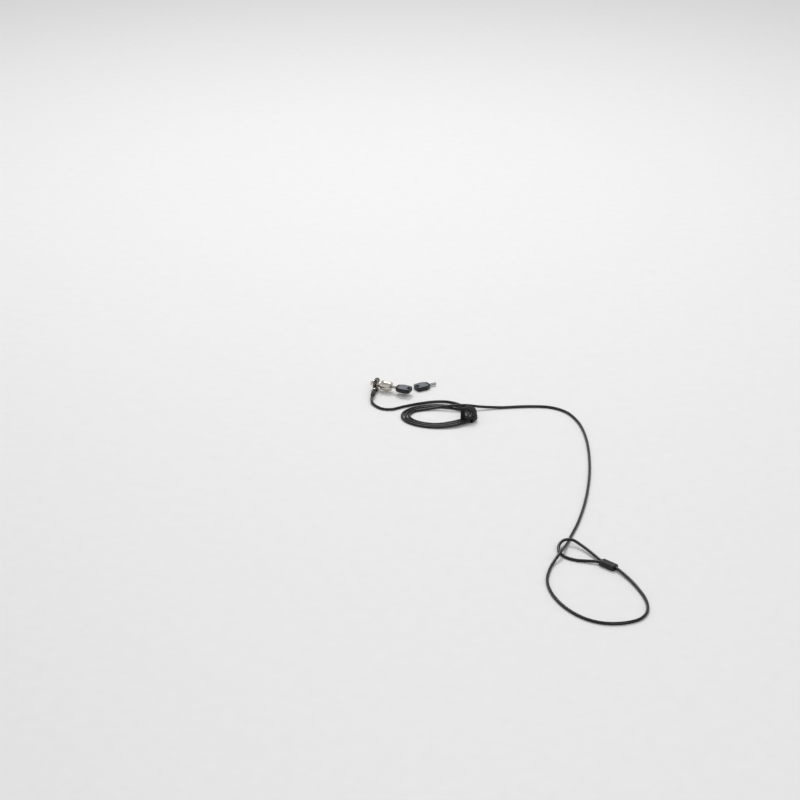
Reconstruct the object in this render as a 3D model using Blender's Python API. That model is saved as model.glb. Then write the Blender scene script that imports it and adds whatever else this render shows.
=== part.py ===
"""Laptop cable lock: a keyed lock head on a vinyl-covered steel cable, with a spare key.

The lock head has a T-bar nose for a laptop's security slot, a keyed rotor with discs and a sidebar, and a
swivel collar on its neck. The cable end pivots on a pin in the collar's lug. The cable lies on the desk: a
curved lead, wraps held by a strap, and a long run that goes through its own end loop as a noose. A crimp
under a moulded sleeve closes that loop.

+X runs along the lock from its nose to its key, +Z is up, and the desk is at Z = 0. The origin is on the
desk, under the middle of the lock and its keys. Sizes are in metres, written in millimetres times MM.
"""

import math

import bmesh
import bpy
from mathutils import Vector
from mathutils.geometry import interpolate_bezier

MM = 0.001

# Clearances and mesh steps
FIT = 0.3 * MM
SOFT_FIT = 0.35 * MM
CROSSING_FIT = 0.6 * MM
CUT_PAST = 1.0 * MM
ROUND_STEPS = 32
HOLE_STEPS = 24
SMOOTH_ANGLE = 35.0
MERGE = 0.001 * MM

# Where the lock lies
SEAT_X = -33.1 * MM
LOCK_Y = -15.4 * MM

# Nose that seats on the slotted wall, and its neck
FLANGE_R = 6.0 * MM
FLANGE_T = 1.8 * MM
NECK_R = 3.3 * MM
BARE_NECK = 4.5 * MM
SPIGOT_R = 2.7 * MM
SLOT_WALL = 2.2 * MM
LUG_INNER_Y = 1.9 * MM
LUG_OUTER_Y = 3.35 * MM
LUG_H = 2.4 * MM
LUG_BACK = 0.4 * MM

# T-bar
T_SPINDLE_R = 1.25 * MM
T_HEAD_L = 6.4 * MM
T_HEAD_W = 2.5 * MM
T_HEAD_T = 2.2 * MM
T_BASE_T = 1.4 * MM
T_EAR_W = 1.6 * MM

# Swivel collar, its clip, lug and pin
COLLAR_R = 8.5 * MM
COLLAR_W = 3.3 * MM
COLLAR_RIM = 2.3 * MM
COLLAR_HUB = 1.2 * MM
COLLAR_WEB = 1.6 * MM
COLLAR_ROUND = 0.9 * MM
CLIP_R = 5.0 * MM
CLIP_T = 0.8 * MM
CLIP_GROOVE = 0.7 * MM
CLIP_MOUTH = 3.6 * MM
PIN_R = 1.1 * MM
PIN_HEAD_R = 1.9 * MM
PIN_HEAD_T = 0.6 * MM
PIN_OUT = 12.2 * MM
PIN_DROP = 3.6 * MM
PIN_ALONG = 6.4 * MM
EAR_T = 1.5 * MM
EAR_R = 2.5 * MM

# Cable end that pivots on the pin
EYE_R = 2.4 * MM
EYE_T = 2.0 * MM
BARREL_R = 3.0 * MM
BARREL_L = 8.0 * MM
BARREL_CHAMFER = 0.6 * MM
LEAD_SLEEVE_R = 2.8 * MM
LEAD_SLEEVE_TIP = 0.45 * MM
LEAD_SLEEVE_L = 5.0 * MM
CABLE_END_TURN = 15.0

# Lock body and face plate
BODY_R = 6.3 * MM
BODY_L = 13.7 * MM
BODY_FRONT_WALL = 1.2 * MM
BODY_ROUND = 0.8 * MM
FACE_R = 5.3 * MM
FACE_T = 1.6 * MM

# Rotor, discs and sidebar
ROTOR_R = 4.4 * MM
ROTOR_WALL = 1.2 * MM
HUB_R = 3.2 * MM
DISC_R = 3.2 * MM
DISC_COUNT = 4
SIDEBAR_W = 1.4 * MM
SIDEBAR_LIFT = 0.6 * MM
KEY_TURN = 90.0
GROOVE_RUN_IN = 14.0
GROOVE_STEPS = 12

# Keys
BLADE_W = 4.0 * MM
BLADE_T = 1.8 * MM
BLADE_L = 11.0 * MM
BLADE_TAIL = 8.0 * MM
BLADE_POINT = 1.2 * MM
BLADE_CUT = 0.5 * MM
BLADE_CUT_L = 0.9 * MM
BLADE_CUTS = 4
BOW_L = 20.5 * MM
BOW_W = 15.2 * MM
BOW_END_W = 14.6 * MM
BOW_NECK_W = 8.6 * MM
BOW_SHOULDER = 6.5 * MM
BOW_T = 6.0 * MM
BOW_CORNER = 3.6 * MM
BOW_EDGE = 0.9 * MM
PANEL_MARGIN = 1.1 * MM
PANEL_START = 3.2 * MM
PANEL_CORNER = 2.4 * MM
PANEL_DEPTH = 0.5 * MM
KEY_HOLE_L = 6.0 * MM
KEY_HOLE_W = 3.0 * MM
KEY_HOLE_FROM_END = 3.4 * MM
KEY_OUT = 7.7 * MM
SPARE_X = 24.1 * MM
SPARE_Y = 12.44 * MM
SPARE_TURN = 54.0

# Cable
CABLE_D = 3.5 * MM
LEAD_POINTS = 16
RUN_POINTS = 45
LOOP_POINTS = 14
FREE_ROUND_STEPS = 2
WRAPS_ROUND_STEPS = 1
LOOP_SPREAD = 0.4 * MM

# Wraps and their strap
WRAPS_X = 76.7 * MM
WRAPS_Y = -58.9 * MM
WRAPS_TURN = 24.0
WRAPS_LONG = 48.1 * MM
WRAPS_SHORT = 34.9 * MM
WRAP_GAP_LONG = 1.1 * MM
WRAP_GAP_SHORT = 0.9 * MM
WRAPS_START = -20.0
WRAPS_END = 940.0
POINTS_PER_WRAP = 24
STRAP_ANGLE = 22.0
STRAP_LIFT_FULL = 28.0
STRAP_LIFT_END = 80.0
STRAP_W = 11.0 * MM
STRAP_T = 1.8 * MM
STRAP_ROOM = 12.2 * MM
STRAP_ROUND = 2.0 * MM
STRAP_CROWN = 6.5 * MM
WRAP_BEND = 1.9 * MM

# Crimp and moulded sleeve of the end loop
SLEEVE_X = 398.9 * MM
SLEEVE_Y = -337.2 * MM
SLEEVE_TURN = 160.0
SLEEVE_L = 20.0 * MM
SLEEVE_T = 0.95 * MM
SLEEVE_ROUND = 0.6 * MM
CRIMP_L = 13.0 * MM
CRIMP_WALL = 0.35 * MM

# The cable's free route over the desk: X and Y in millimetres, and its height as a share of a crossing
LEAD_ROUTE = (
    (-20.5, -50.0, 0.65),
    (-16.3, -57.6, 0.25),
    (-8.0, -64.3, 0.0),
    (3.5, -68.4, 0.0),
    (14.5, -65.0, 0.0),
    (26.5, -50.0, 0.0),
    (41.0, -34.0, 0.0),
    (57.5, -20.5, 0.0),
    (73.0, -14.7, 0.0),
    (87.5, -16.2, 0.02),
    (100.0, -23.5, 0.2),
)
RUN_ROUTE = (
    (66.5, -40.2, 0.3),
    (75.0, -36.8, 0.75),
    (84.0, -33.6, 1.15),
    (101.0, -27.6, 1.5),
    (118.0, -16.8, 0.66),
    (141.0, -3.2, 0.05),
    (174.0, 15.5, 0.0),
    (198.5, 23.5, 0.0),
    (221.0, 19.0, 0.0),
    (244.0, -1.0, 0.0),
    (268.0, -38.0, 0.0),
    (299.5, -112.5, 0.0),
    (323.0, -192.5, 0.0),
    (334.9, -254.5, 0.0),
    (338.3, -286.7, 0.0),
    (340.6, -309.5, 0.05),
    (343.0, -336.6, 1.2),
    (341.5, -358.5, 0.15),
    (343.9, -378.3, 0.0),
    (349.2, -396.2, 0.0),
    (359.3, -413.9, 0.0),
    (374.7, -431.1, 0.0),
    (393.6, -444.8, 0.0),
    (413.1, -452.7, 0.0),
    (430.0, -453.6, 0.0),
    (444.0, -449.3, 0.0),
    (456.5, -441.0, 0.0),
    (465.2, -430.0, 0.0),
    (467.9, -417.0, 0.0),
    (465.2, -403.0, 0.0),
    (457.0, -387.0, 0.0),
    (445.5, -372.4, 0.02),
    (431.0, -357.4, 0.15),
)
LOOP_ROUTE = (
    (370.7, -318.0, 0.5),
    (356.5, -309.3, 0.8),
    (345.0, -305.6, 1.2),
    (337.0, -309.0, 1.08),
    (334.5, -318.5, 0.55),
    (339.0, -330.0, 0.1),
    (349.0, -337.2, 0.0),
    (361.6, -339.0, 0.0),
    (373.9, -336.9, 0.15),
)

# Sizes that follow from those above
CABLE_R = CABLE_D / 2
LOCK_Z = COLLAR_R
PIN_Z = LOCK_Z - PIN_DROP
COLLAR_START = FLANGE_T + FIT
COLLAR_END = COLLAR_START + COLLAR_W
CLIP_START = COLLAR_END + FIT
CLIP_END = CLIP_START + CLIP_T
BODY_START = CLIP_END + BARE_NECK
BODY_END = BODY_START + BODY_L
FACE_START = BODY_END - FACE_T
ROTOR_START = BODY_START + BODY_FRONT_WALL + FIT
ROTOR_END = FACE_START - FIT
T_BASE_END = ROTOR_START + T_BASE_T
CAVITY_R = DISC_R + FIT
CAVITY_END = ROTOR_END - ROTOR_WALL
DISCS_START = T_BASE_END + FIT
DISC_PITCH = (CAVITY_END - DISCS_START) / DISC_COUNT
DISC_T = DISC_PITCH - FIT
BODY_BORE_R = ROTOR_R + FIT
SIDEBAR_FOOT = DISC_R + FIT
SIDEBAR_TOP = ROTOR_R + SIDEBAR_LIFT
SIDEBAR_START = DISCS_START + FIT
SIDEBAR_END = CAVITY_END - FIT
KEYWAY_W = BLADE_W + 2 * FIT
KEYWAY_T = BLADE_T + 2 * FIT
BOW_START = BODY_END + KEY_OUT
CABLE_END_HEADING = math.radians(CABLE_END_TURN - 90.0)
BARREL_START = EAR_R + BARREL_R / 2 + FIT
BARREL_END = BARREL_START + BARREL_L
CROSSING_H = CABLE_D + CROSSING_FIT
WRAP_STEP_LONG = CABLE_D + WRAP_GAP_LONG
WRAP_STEP_SHORT = CABLE_D + WRAP_GAP_SHORT
STRAP_LIFT = STRAP_T + SOFT_FIT
CRIMP_W = 2 * CABLE_D + LOOP_SPREAD + 2 * CRIMP_WALL
CRIMP_H = CABLE_D + 2 * CRIMP_WALL
SLEEVE_BORE_W = CRIMP_W + 2 * FIT
SLEEVE_BORE_H = CRIMP_H + 2 * FIT
SLEEVE_H = SLEEVE_BORE_H + 2 * SLEEVE_T
SLEEVE_Z = SLEEVE_H / 2


def finish(name, colour, roughness, metallic=0.0):
    """A plain Principled material."""
    material = bpy.data.materials.new(name)
    material.use_nodes = True
    shader = material.node_tree.nodes["Principled BSDF"]
    shader.inputs["Base Color"].default_value = (*colour, 1.0)
    shader.inputs["Roughness"].default_value = roughness
    shader.inputs["Metallic"].default_value = metallic
    return material


def place(name, data, material=None, parent=None):
    """A new object in the scene, at its parent's origin."""
    thing = bpy.data.objects.new(name, data)
    bpy.context.scene.collection.objects.link(thing)
    thing.parent = parent
    if material:
        data.materials.append(material)
    return thing


def axis_empty(name, location, parent=None, turn=(0.0, 0.0, 0.0)):
    """An empty that carries the pieces on one joint axis or in one place."""
    empty = place(name, None, parent=parent)
    empty.location = location
    empty.rotation_euler = turn
    return empty


def solid(name, shape, material, parent=None):
    """An object of a finished bmesh, shaded smooth apart from its real edges."""
    bmesh.ops.remove_doubles(shape, verts=shape.verts, dist=MERGE)
    bmesh.ops.recalc_face_normals(shape, faces=shape.faces)
    mesh = bpy.data.meshes.new(name)
    shape.to_mesh(mesh)
    shape.free()
    mesh.shade_smooth()
    mesh.set_sharp_from_angle(angle=math.radians(SMOOTH_ANGLE))
    return place(name, mesh, material, parent)


def turned_shape(outline):
    """(along X, radius) points spun about the X axis. An outline off the axis is closed first."""
    shape = bmesh.new()
    verts = [shape.verts.new((along, 0.0, radius)) for along, radius in outline]
    pairs = list(zip(verts, verts[1:]))
    if outline[0][1] > 0:
        pairs.append((verts[-1], verts[0]))
    edges = [shape.edges.new(pair) for pair in pairs]
    bmesh.ops.spin(
        shape, geom=verts + edges, cent=(0, 0, 0), axis=(1, 0, 0), angle=2 * math.pi, steps=ROUND_STEPS
    )
    return shape


def rod(start, end, radius):
    """The outline of a plain round bar along X."""
    return [(start, 0.0), (start, radius), (end, radius), (end, 0.0)]


def ring(start, end, inner, outer):
    """The outline of a plain round ring along X."""
    return [(start, inner), (start, outer), (end, outer), (end, inner)]


def plate_shape(outline, low, high, upright="Z"):
    """A flat outline raised from low to high: (x, y) points along Z, or (y, z) points along X."""
    shape = bmesh.new()
    if upright == "Z":
        corners = [shape.verts.new((x, y, low)) for x, y in outline]
        move = (0.0, 0.0, high - low)
    else:
        corners = [shape.verts.new((low, y, z)) for y, z in outline]
        move = (high - low, 0.0, 0.0)
    base = shape.faces.new(corners)
    raised = bmesh.ops.extrude_face_region(shape, geom=[base], use_keep_orig=True)
    raised_verts = [item for item in raised["geom"] if isinstance(item, bmesh.types.BMVert)]
    bmesh.ops.translate(shape, vec=move, verts=raised_verts)
    bmesh.ops.recalc_face_normals(shape, faces=shape.faces)
    return shape


def box_shape(low, high):
    """A plain box between two corners."""
    outline = ((low[0], low[1]), (high[0], low[1]), (high[0], high[1]), (low[0], high[1]))
    return plate_shape(outline, low[2], high[2])


def arc(centre, radius, first, last, steps):
    """Points of a round stretch, at angles in degrees."""
    turn = math.radians(last - first)
    angles = [math.radians(first) + turn * step / steps for step in range(steps + 1)]
    return [(centre[0] + radius * math.cos(a), centre[1] + radius * math.sin(a)) for a in angles]


def hole_outline(centre, radius):
    return arc(centre, radius, 0.0, 360.0 - 360.0 / HOLE_STEPS, HOLE_STEPS - 1)


def rounded_outline(width, height, radius, steps=4):
    """A rectangle about the origin with round corners."""
    across = width / 2 - radius
    up = height / 2 - radius
    points = []
    for x, y, first in ((across, up, 0), (-across, up, 90), (-across, -up, 180), (across, -up, 270)):
        points += arc((x, y), radius, first, first + 90, steps)
    return points


def round_corners(outline, radius, steps=4):
    """A flat outline with each corner replaced by an arc that touches both of its sides."""
    points = []
    for index, corner in enumerate(outline):
        here = Vector(corner)
        back = (Vector(outline[index - 1]) - here).normalized()
        ahead = (Vector(outline[(index + 1) % len(outline)]) - here).normalized()
        half_angle = back.angle(ahead) / 2
        middle = here + (back + ahead).normalized() * radius / math.sin(half_angle)
        first = here + back * radius / math.tan(half_angle) - middle
        last = here + ahead * radius / math.tan(half_angle) - middle
        for step in range(steps + 1):
            points.append(tuple(middle + radius * first.slerp(last, step / steps)))
    return points


def combine(target, other_shape, operation, name):
    """Cuts a hidden helper shape, in the object's own frame, from an object, or joins it on."""
    helper = solid(name, other_shape, None, target)
    helper.hide_render = True
    helper.display_type = "WIRE"
    change = target.modifiers.new(name, "BOOLEAN")
    change.operation = operation
    change.solver = "EXACT"
    change.object = helper


def cut(target, shape, name):
    combine(target, shape, "DIFFERENCE", f"{target.name}_{name}_cutter")


def join(target, shape, name):
    combine(target, shape, "UNION", f"{target.name}_{name}_joined")


def round_edges(target, width, segments=2, angle=40.0):
    """Rounds the edges that are sharp so far."""
    bevel = target.modifiers.new("rounded_edges", "BEVEL")
    bevel.width = width
    bevel.segments = segments
    bevel.limit_method = "ANGLE"
    bevel.angle_limit = math.radians(angle)


def ease(share):
    """A smooth step from 0 to 1."""
    share = min(max(share, 0.0), 1.0)
    return share * share * (3 - 2 * share)


def handle_after(before, here, after):
    """The Bezier handle that a centripetal Catmull-Rom curve has just past the middle of three points."""
    near = math.sqrt((here - before).length)
    far = math.sqrt((after - here).length)
    share = 2 * near * near + 3 * near * far + far * far
    return (near * near * after - far * far * before + share * here) / (3 * near * (near + far))


def curve_through(points, steps=16):
    """A smooth curve through the points, kept on the desk, as a fine list of points."""
    ends = [2 * points[0] - points[1], *points, 2 * points[-1] - points[-2]]
    path = [points[0]]
    for before, start, stop, after in zip(ends, ends[1:], ends[2:], ends[3:]):
        first_handle = handle_after(before, start, stop)
        second_handle = handle_after(after, stop, start)
        path += interpolate_bezier(start, first_handle, second_handle, stop, steps + 1)[1:]
    for point in path:
        point.z = max(point.z, CABLE_R)
    return path


def path_length(path):
    return sum((second - first).length for first, second in zip(path, path[1:]))


def spaced(path, count):
    """The same path with its points an equal way apart."""
    step = path_length(path) / (count - 1)
    points = [path[0]]
    walked = 0.0
    for first, second in zip(path, path[1:]):
        span = (second - first).length
        while walked + span >= step * len(points) and len(points) < count - 1:
            points.append(first.lerp(second, (step * len(points) - walked) / span))
        walked += span
    return [*points, path[-1]]


def least_gap(path, thickness):
    """The least clear gap between stretches of one tube, measured between points along it."""
    fine = spaced(path, 8 * len(path))
    skip = int(4 * thickness / (path_length(path) / len(fine)))
    apart = min((fine[i] - fine[j]).length for i in range(len(fine)) for j in range(i + skip, len(fine)))
    return apart - thickness


def tube(name, points, material, sides):
    """A round tube with closed ends along a list of points."""
    curve = bpy.data.curves.new(name, "CURVE")
    curve.dimensions = "3D"
    curve.bevel_depth = CABLE_R
    curve.bevel_resolution = sides
    curve.use_fill_caps = True
    spline = curve.splines.new("POLY")
    spline.points.add(len(points) - 1)
    for target, point in zip(spline.points, points):
        target.co = (*point, 1.0)
    spline.use_smooth = True
    return place(name, curve, material)


def on_desk(route):
    """Route points in space, from X, Y and a share of a crossing's height."""
    return [Vector((x * MM, y * MM, CABLE_R + lift * CROSSING_H)) for x, y, lift in route]


def wrap_point(angle):
    """A point on the wraps, which close in as the angle grows clockwise, seen from above."""
    turns = angle / 360.0
    along = (WRAPS_LONG - turns * WRAP_STEP_LONG) * math.cos(math.radians(angle))
    across = -(WRAPS_SHORT - turns * WRAP_STEP_SHORT) * math.sin(math.radians(angle))
    from_strap = abs((angle - STRAP_ANGLE + 180.0) % 360.0 - 180.0)
    lift = ease((STRAP_LIFT_END - from_strap) / (STRAP_LIFT_END - STRAP_LIFT_FULL))
    turn = math.radians(WRAPS_TURN)
    x = WRAPS_X + along * math.cos(turn) - across * math.sin(turn)
    y = WRAPS_Y + along * math.sin(turn) + across * math.cos(turn)
    return Vector((x, y, CABLE_R + lift * STRAP_LIFT))


def wrap_heading(angle):
    """The level direction in which the wraps run at an angle."""
    heading = wrap_point(angle + 0.5) - wrap_point(angle - 0.5)
    heading.z = 0.0
    return heading.normalized()


def make_cable(vinyl):
    """The cable's four stretches, which meet face to face."""
    start_way = Vector((math.cos(CABLE_END_HEADING), math.sin(CABLE_END_HEADING), 0.0))
    pin = Vector((SEAT_X + PIN_ALONG, LOCK_Y - PIN_OUT, PIN_Z))
    lead_start = pin + (BARREL_END + FIT) * start_way
    lead_free = pin + (BARREL_END + FIT + LEAD_SLEEVE_L + CABLE_R) * start_way
    step = 360.0 / POINTS_PER_WRAP
    angles = [WRAPS_START + step * index for index in range(int((WRAPS_END - WRAPS_START) / step) + 1)]
    wraps = [wrap_point(angle) for angle in angles]
    first_way = (wraps[0] - wrap_point(angles[0] - step)).normalized()
    last_way = (wrap_point(angles[-1] + step) - wraps[-1]).normalized()
    wraps_in = wraps[0] - CABLE_D * first_way
    wraps_out = wraps[-1] + CABLE_D * last_way
    lead_end = wraps_in - FIT * first_way
    lead_last = lead_end - CABLE_D * first_way
    lead_curve = curve_through([lead_free, *on_desk(LEAD_ROUTE), lead_last])
    lead = [lead_start, *spaced(lead_curve, LEAD_POINTS), lead_end]
    tube("cable_lead", lead, vinyl, FREE_ROUND_STEPS)
    coil = [wraps_in, *wraps, wraps_out]
    tube("cable_coil", coil, vinyl, WRAPS_ROUND_STEPS)

    sleeve_way = Vector((math.cos(math.radians(SLEEVE_TURN)), math.sin(math.radians(SLEEVE_TURN)), 0.0))
    sleeve_side = Vector((sleeve_way.y, -sleeve_way.x, 0.0))
    sleeve = Vector((SLEEVE_X, SLEEVE_Y, SLEEVE_Z))
    to_crimp = CRIMP_L / 2 + FIT
    to_open = SLEEVE_L / 2 + CABLE_R
    run_start = wraps_out + FIT * last_way
    run_first = run_start + CABLE_D * last_way
    run_last = sleeve - to_open * sleeve_way
    run_end = sleeve - to_crimp * sleeve_way
    run_curve = curve_through([run_first, *on_desk(RUN_ROUTE), run_last])
    run = [run_start, *spaced(run_curve, RUN_POINTS), run_end]
    tube("cable_run", run, vinyl, FREE_ROUND_STEPS)
    aside = (CABLE_R + LOOP_SPREAD / 2) * sleeve_side
    loop_first = sleeve + to_open * sleeve_way + aside
    loop_last = sleeve + to_open * sleeve_way - aside
    loop_curve = curve_through([loop_first, *on_desk(LOOP_ROUTE), loop_last])
    loop_start = sleeve + to_crimp * sleeve_way + aside
    loop_end = sleeve + to_crimp * sleeve_way - aside
    loop = [loop_start, *spaced(loop_curve, LOOP_POINTS), loop_end]
    tube("cable_loop", loop, vinyl, FREE_ROUND_STEPS)
    whole = sum(path_length(path) for path in (lead, coil, run, loop)) + CRIMP_L
    print(f"cable length {whole:.4f} m, least gap of the wraps {least_gap(coil, CABLE_D) / MM:.2f} mm")


def strap_outline(width, height, low_round, crown):
    """The outline of a strap that lies flat on the desk and stands up in a round crown."""
    points = []
    for first, radius in ((0, crown), (90, crown), (180, low_round), (270, low_round)):
        across = (width / 2 - radius) * (1 if first in (0, 270) else -1)
        up = (height / 2 - radius) * (1 if first < 180 else -1)
        points += arc((across, up), radius, first, first + 90, 5)
    return points


def make_coil_strap(fabric):
    """A hook-and-loop strap that lies under the wraps and stands loose above them."""
    middle = wrap_point(STRAP_ANGLE + 360.0)
    way = wrap_heading(STRAP_ANGLE + 360.0)
    inward = Vector((way.y, -way.x, 0.0))
    inner_w = 2 * WRAP_STEP_LONG + CABLE_D + WRAP_BEND + 2 * SOFT_FIT
    inner_h = CABLE_D + SOFT_FIT + STRAP_ROOM
    centre = middle + inward * WRAP_BEND / 2
    centre.z = STRAP_T + inner_h / 2
    seat = axis_empty("strap_place", centre, turn=(0.0, 0.0, math.atan2(way.y, way.x)))
    outer_w = inner_w + 2 * STRAP_T
    outer_h = inner_h + 2 * STRAP_T
    outer = strap_outline(outer_w, outer_h, STRAP_ROUND + STRAP_T, STRAP_CROWN + STRAP_T)
    inner = strap_outline(inner_w, inner_h, STRAP_ROUND, STRAP_CROWN)
    strap = solid("coil_strap", plate_shape(outer, -STRAP_W / 2, STRAP_W / 2, "X"), fabric, seat)
    cut(strap, plate_shape(inner, -STRAP_W, STRAP_W, "X"), "inside")


def make_loop_end(crimp_metal, moulding):
    """The double crimp of the end loop, and the moulded sleeve over it."""
    turn = (0.0, 0.0, math.radians(SLEEVE_TURN))
    seat = axis_empty("loop_end", (SLEEVE_X, SLEEVE_Y, SLEEVE_Z), turn=turn)
    crimp = rounded_outline(CRIMP_W, CRIMP_H, CRIMP_H / 2 - FIT)
    solid("loop_crimp", plate_shape(crimp, -CRIMP_L / 2, CRIMP_L / 2, "X"), crimp_metal, seat)
    outer_w = SLEEVE_BORE_W + 2 * SLEEVE_T
    outer = rounded_outline(outer_w, SLEEVE_H, SLEEVE_H / 2 - FIT)
    bore = rounded_outline(SLEEVE_BORE_W, SLEEVE_BORE_H, SLEEVE_BORE_H / 2 - FIT)
    sleeve = solid("loop_sleeve", plate_shape(outer, -SLEEVE_L / 2, SLEEVE_L / 2, "X"), moulding, seat)
    round_edges(sleeve, SLEEVE_ROUND)
    cut(sleeve, plate_shape(bore, -SLEEVE_L, SLEEVE_L, "X"), "bore")


def make_cable_end(nickel, moulding):
    """The crimped end of the lead, with an eye on the collar's pin, and the short sleeve behind it."""
    seat = axis_empty(
        "cable_end", (SEAT_X + PIN_ALONG, LOCK_Y - PIN_OUT, PIN_Z), turn=(0.0, 0.0, CABLE_END_HEADING)
    )
    barrel = [
        (BARREL_START, 0.0),
        (BARREL_START, BARREL_R - BARREL_CHAMFER),
        (BARREL_START + BARREL_CHAMFER, BARREL_R),
        (BARREL_END - BARREL_CHAMFER, BARREL_R),
        (BARREL_END, BARREL_R - BARREL_CHAMFER),
        (BARREL_END, 0.0),
    ]
    terminal = solid("cable_terminal", turned_shape(barrel), nickel, seat)
    tab = arc((0.0, 0.0), EYE_R, 90, 270, 12)
    tab += [(BARREL_START + BARREL_R / 2, -EYE_R), (BARREL_START + BARREL_R / 2, EYE_R)]
    join(terminal, plate_shape(tab, -EYE_T / 2, EYE_T / 2), "tab")
    cut(terminal, plate_shape(hole_outline((0.0, 0.0), PIN_R + FIT), -EYE_T, EYE_T), "eye")
    sleeve_start = BARREL_END + FIT
    sleeve_end = sleeve_start + LEAD_SLEEVE_L
    bore = CABLE_R + FIT
    sleeve = [
        (sleeve_start, bore),
        (sleeve_start, LEAD_SLEEVE_R),
        (sleeve_end, bore + LEAD_SLEEVE_TIP),
        (sleeve_end, bore),
    ]
    solid("lead_sleeve", turned_shape(sleeve), moulding, seat)


def make_collar(dark_nickel, nickel, lock_axis):
    """The swivel collar with its forked lug, the pin through it, and the clip that keeps the collar on."""
    pin_place = Vector((PIN_ALONG, -PIN_OUT, -PIN_DROP))
    pivot = axis_empty("pivot_axis", pin_place, lock_axis)
    middle = (COLLAR_START + COLLAR_END) / 2
    bore = NECK_R + FIT
    hub = bore + COLLAR_HUB
    rim = COLLAR_R - COLLAR_RIM
    outline = [
        (COLLAR_START, bore),
        (COLLAR_START, hub),
        (middle - COLLAR_WEB / 2, hub),
        (middle - COLLAR_WEB / 2, rim),
        (COLLAR_START, rim),
        (COLLAR_START, COLLAR_R - COLLAR_ROUND),
        (COLLAR_START + COLLAR_ROUND / 3, COLLAR_R - COLLAR_ROUND / 3),
        (COLLAR_START + COLLAR_ROUND, COLLAR_R),
        (COLLAR_END - COLLAR_ROUND, COLLAR_R),
        (COLLAR_END - COLLAR_ROUND / 3, COLLAR_R - COLLAR_ROUND / 3),
        (COLLAR_END, COLLAR_R - COLLAR_ROUND),
        (COLLAR_END, rim),
        (middle + COLLAR_WEB / 2, rim),
        (middle + COLLAR_WEB / 2, hub),
        (COLLAR_END, hub),
        (COLLAR_END, bore),
    ]
    collar = solid("swivel_collar", turned_shape(outline), dark_nickel, pivot)
    collar.location = -pin_place
    fork_half = EYE_T / 2 + FIT
    lug_half = fork_half + EAR_T
    root = -math.sqrt((COLLAR_R - COLLAR_RIM / 2) ** 2 - PIN_DROP**2)
    lug = arc((PIN_ALONG, -PIN_OUT), EAR_R, 180, 360, 12)
    lug += [(PIN_ALONG + EAR_R, root), (PIN_ALONG - EAR_R, root)]
    join(collar, plate_shape(lug, -PIN_DROP - lug_half, -PIN_DROP + lug_half), "lug")
    fork_low = (PIN_ALONG - 2 * EAR_R, -PIN_OUT - 2 * EAR_R, -PIN_DROP - fork_half)
    fork_high = (PIN_ALONG + 2 * EAR_R, -PIN_OUT + EYE_R + FIT, -PIN_DROP + fork_half)
    cut(collar, box_shape(fork_low, fork_high), "fork")
    hole = hole_outline((PIN_ALONG, -PIN_OUT), PIN_R + FIT)
    cut(collar, plate_shape(hole, -PIN_DROP - 2 * lug_half, -PIN_DROP + 2 * lug_half), "pin_hole")
    reach = lug_half + FIT
    pin_outline = [
        (-reach - PIN_HEAD_T, 0.0),
        (-reach - PIN_HEAD_T, PIN_HEAD_R),
        (-reach, PIN_HEAD_R),
        (-reach, PIN_R),
        (reach, PIN_R),
        (reach, PIN_HEAD_R),
        (reach + PIN_HEAD_T, PIN_HEAD_R),
        (reach + PIN_HEAD_T, 0.0),
    ]
    pin = solid("link_pin", turned_shape(pin_outline), nickel, pivot)
    pin.rotation_euler = (0.0, math.radians(90.0), 0.0)
    groove = NECK_R - CLIP_GROOVE + FIT
    clip_outline = ring(CLIP_START, CLIP_END, groove, CLIP_R)
    clip = solid("collar_clip", turned_shape(clip_outline), nickel, lock_axis)
    mouth_low = (CLIP_START - CUT_PAST, -CLIP_MOUTH / 2, 0.0)
    mouth_high = (CLIP_END + CUT_PAST, CLIP_MOUTH / 2, 2 * CLIP_R)
    cut(clip, box_shape(mouth_low, mouth_high), "mouth")


def make_nose(nickel, lock_axis):
    """The seat flange with its two slot lugs, on the neck that the collar and the body sit on."""
    bore = T_SPINDLE_R + FIT
    groove = NECK_R - CLIP_GROOVE
    outline = [
        (0.0, bore),
        (0.0, FLANGE_R),
        (FLANGE_T, FLANGE_R),
        (FLANGE_T, NECK_R),
        (CLIP_START - FIT, NECK_R),
        (CLIP_START - FIT, groove),
        (CLIP_END + FIT, groove),
        (CLIP_END + FIT, NECK_R),
        (BODY_START - FIT, NECK_R),
        (BODY_START - FIT, SPIGOT_R),
        (BODY_START + BODY_FRONT_WALL, SPIGOT_R),
        (BODY_START + BODY_FRONT_WALL, bore),
    ]
    nose = solid("nose_flange", turned_shape(outline), nickel, lock_axis)
    sides = (("left", LUG_INNER_Y, LUG_OUTER_Y), ("right", -LUG_OUTER_Y, -LUG_INNER_Y))
    for side, inner, outer in sides:
        low = (LUG_BACK - SLOT_WALL, inner, -LUG_H / 2)
        high = (FLANGE_T / 2, outer, LUG_H / 2)
        join(nose, box_shape(low, high), f"{side}_lug")


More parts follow.
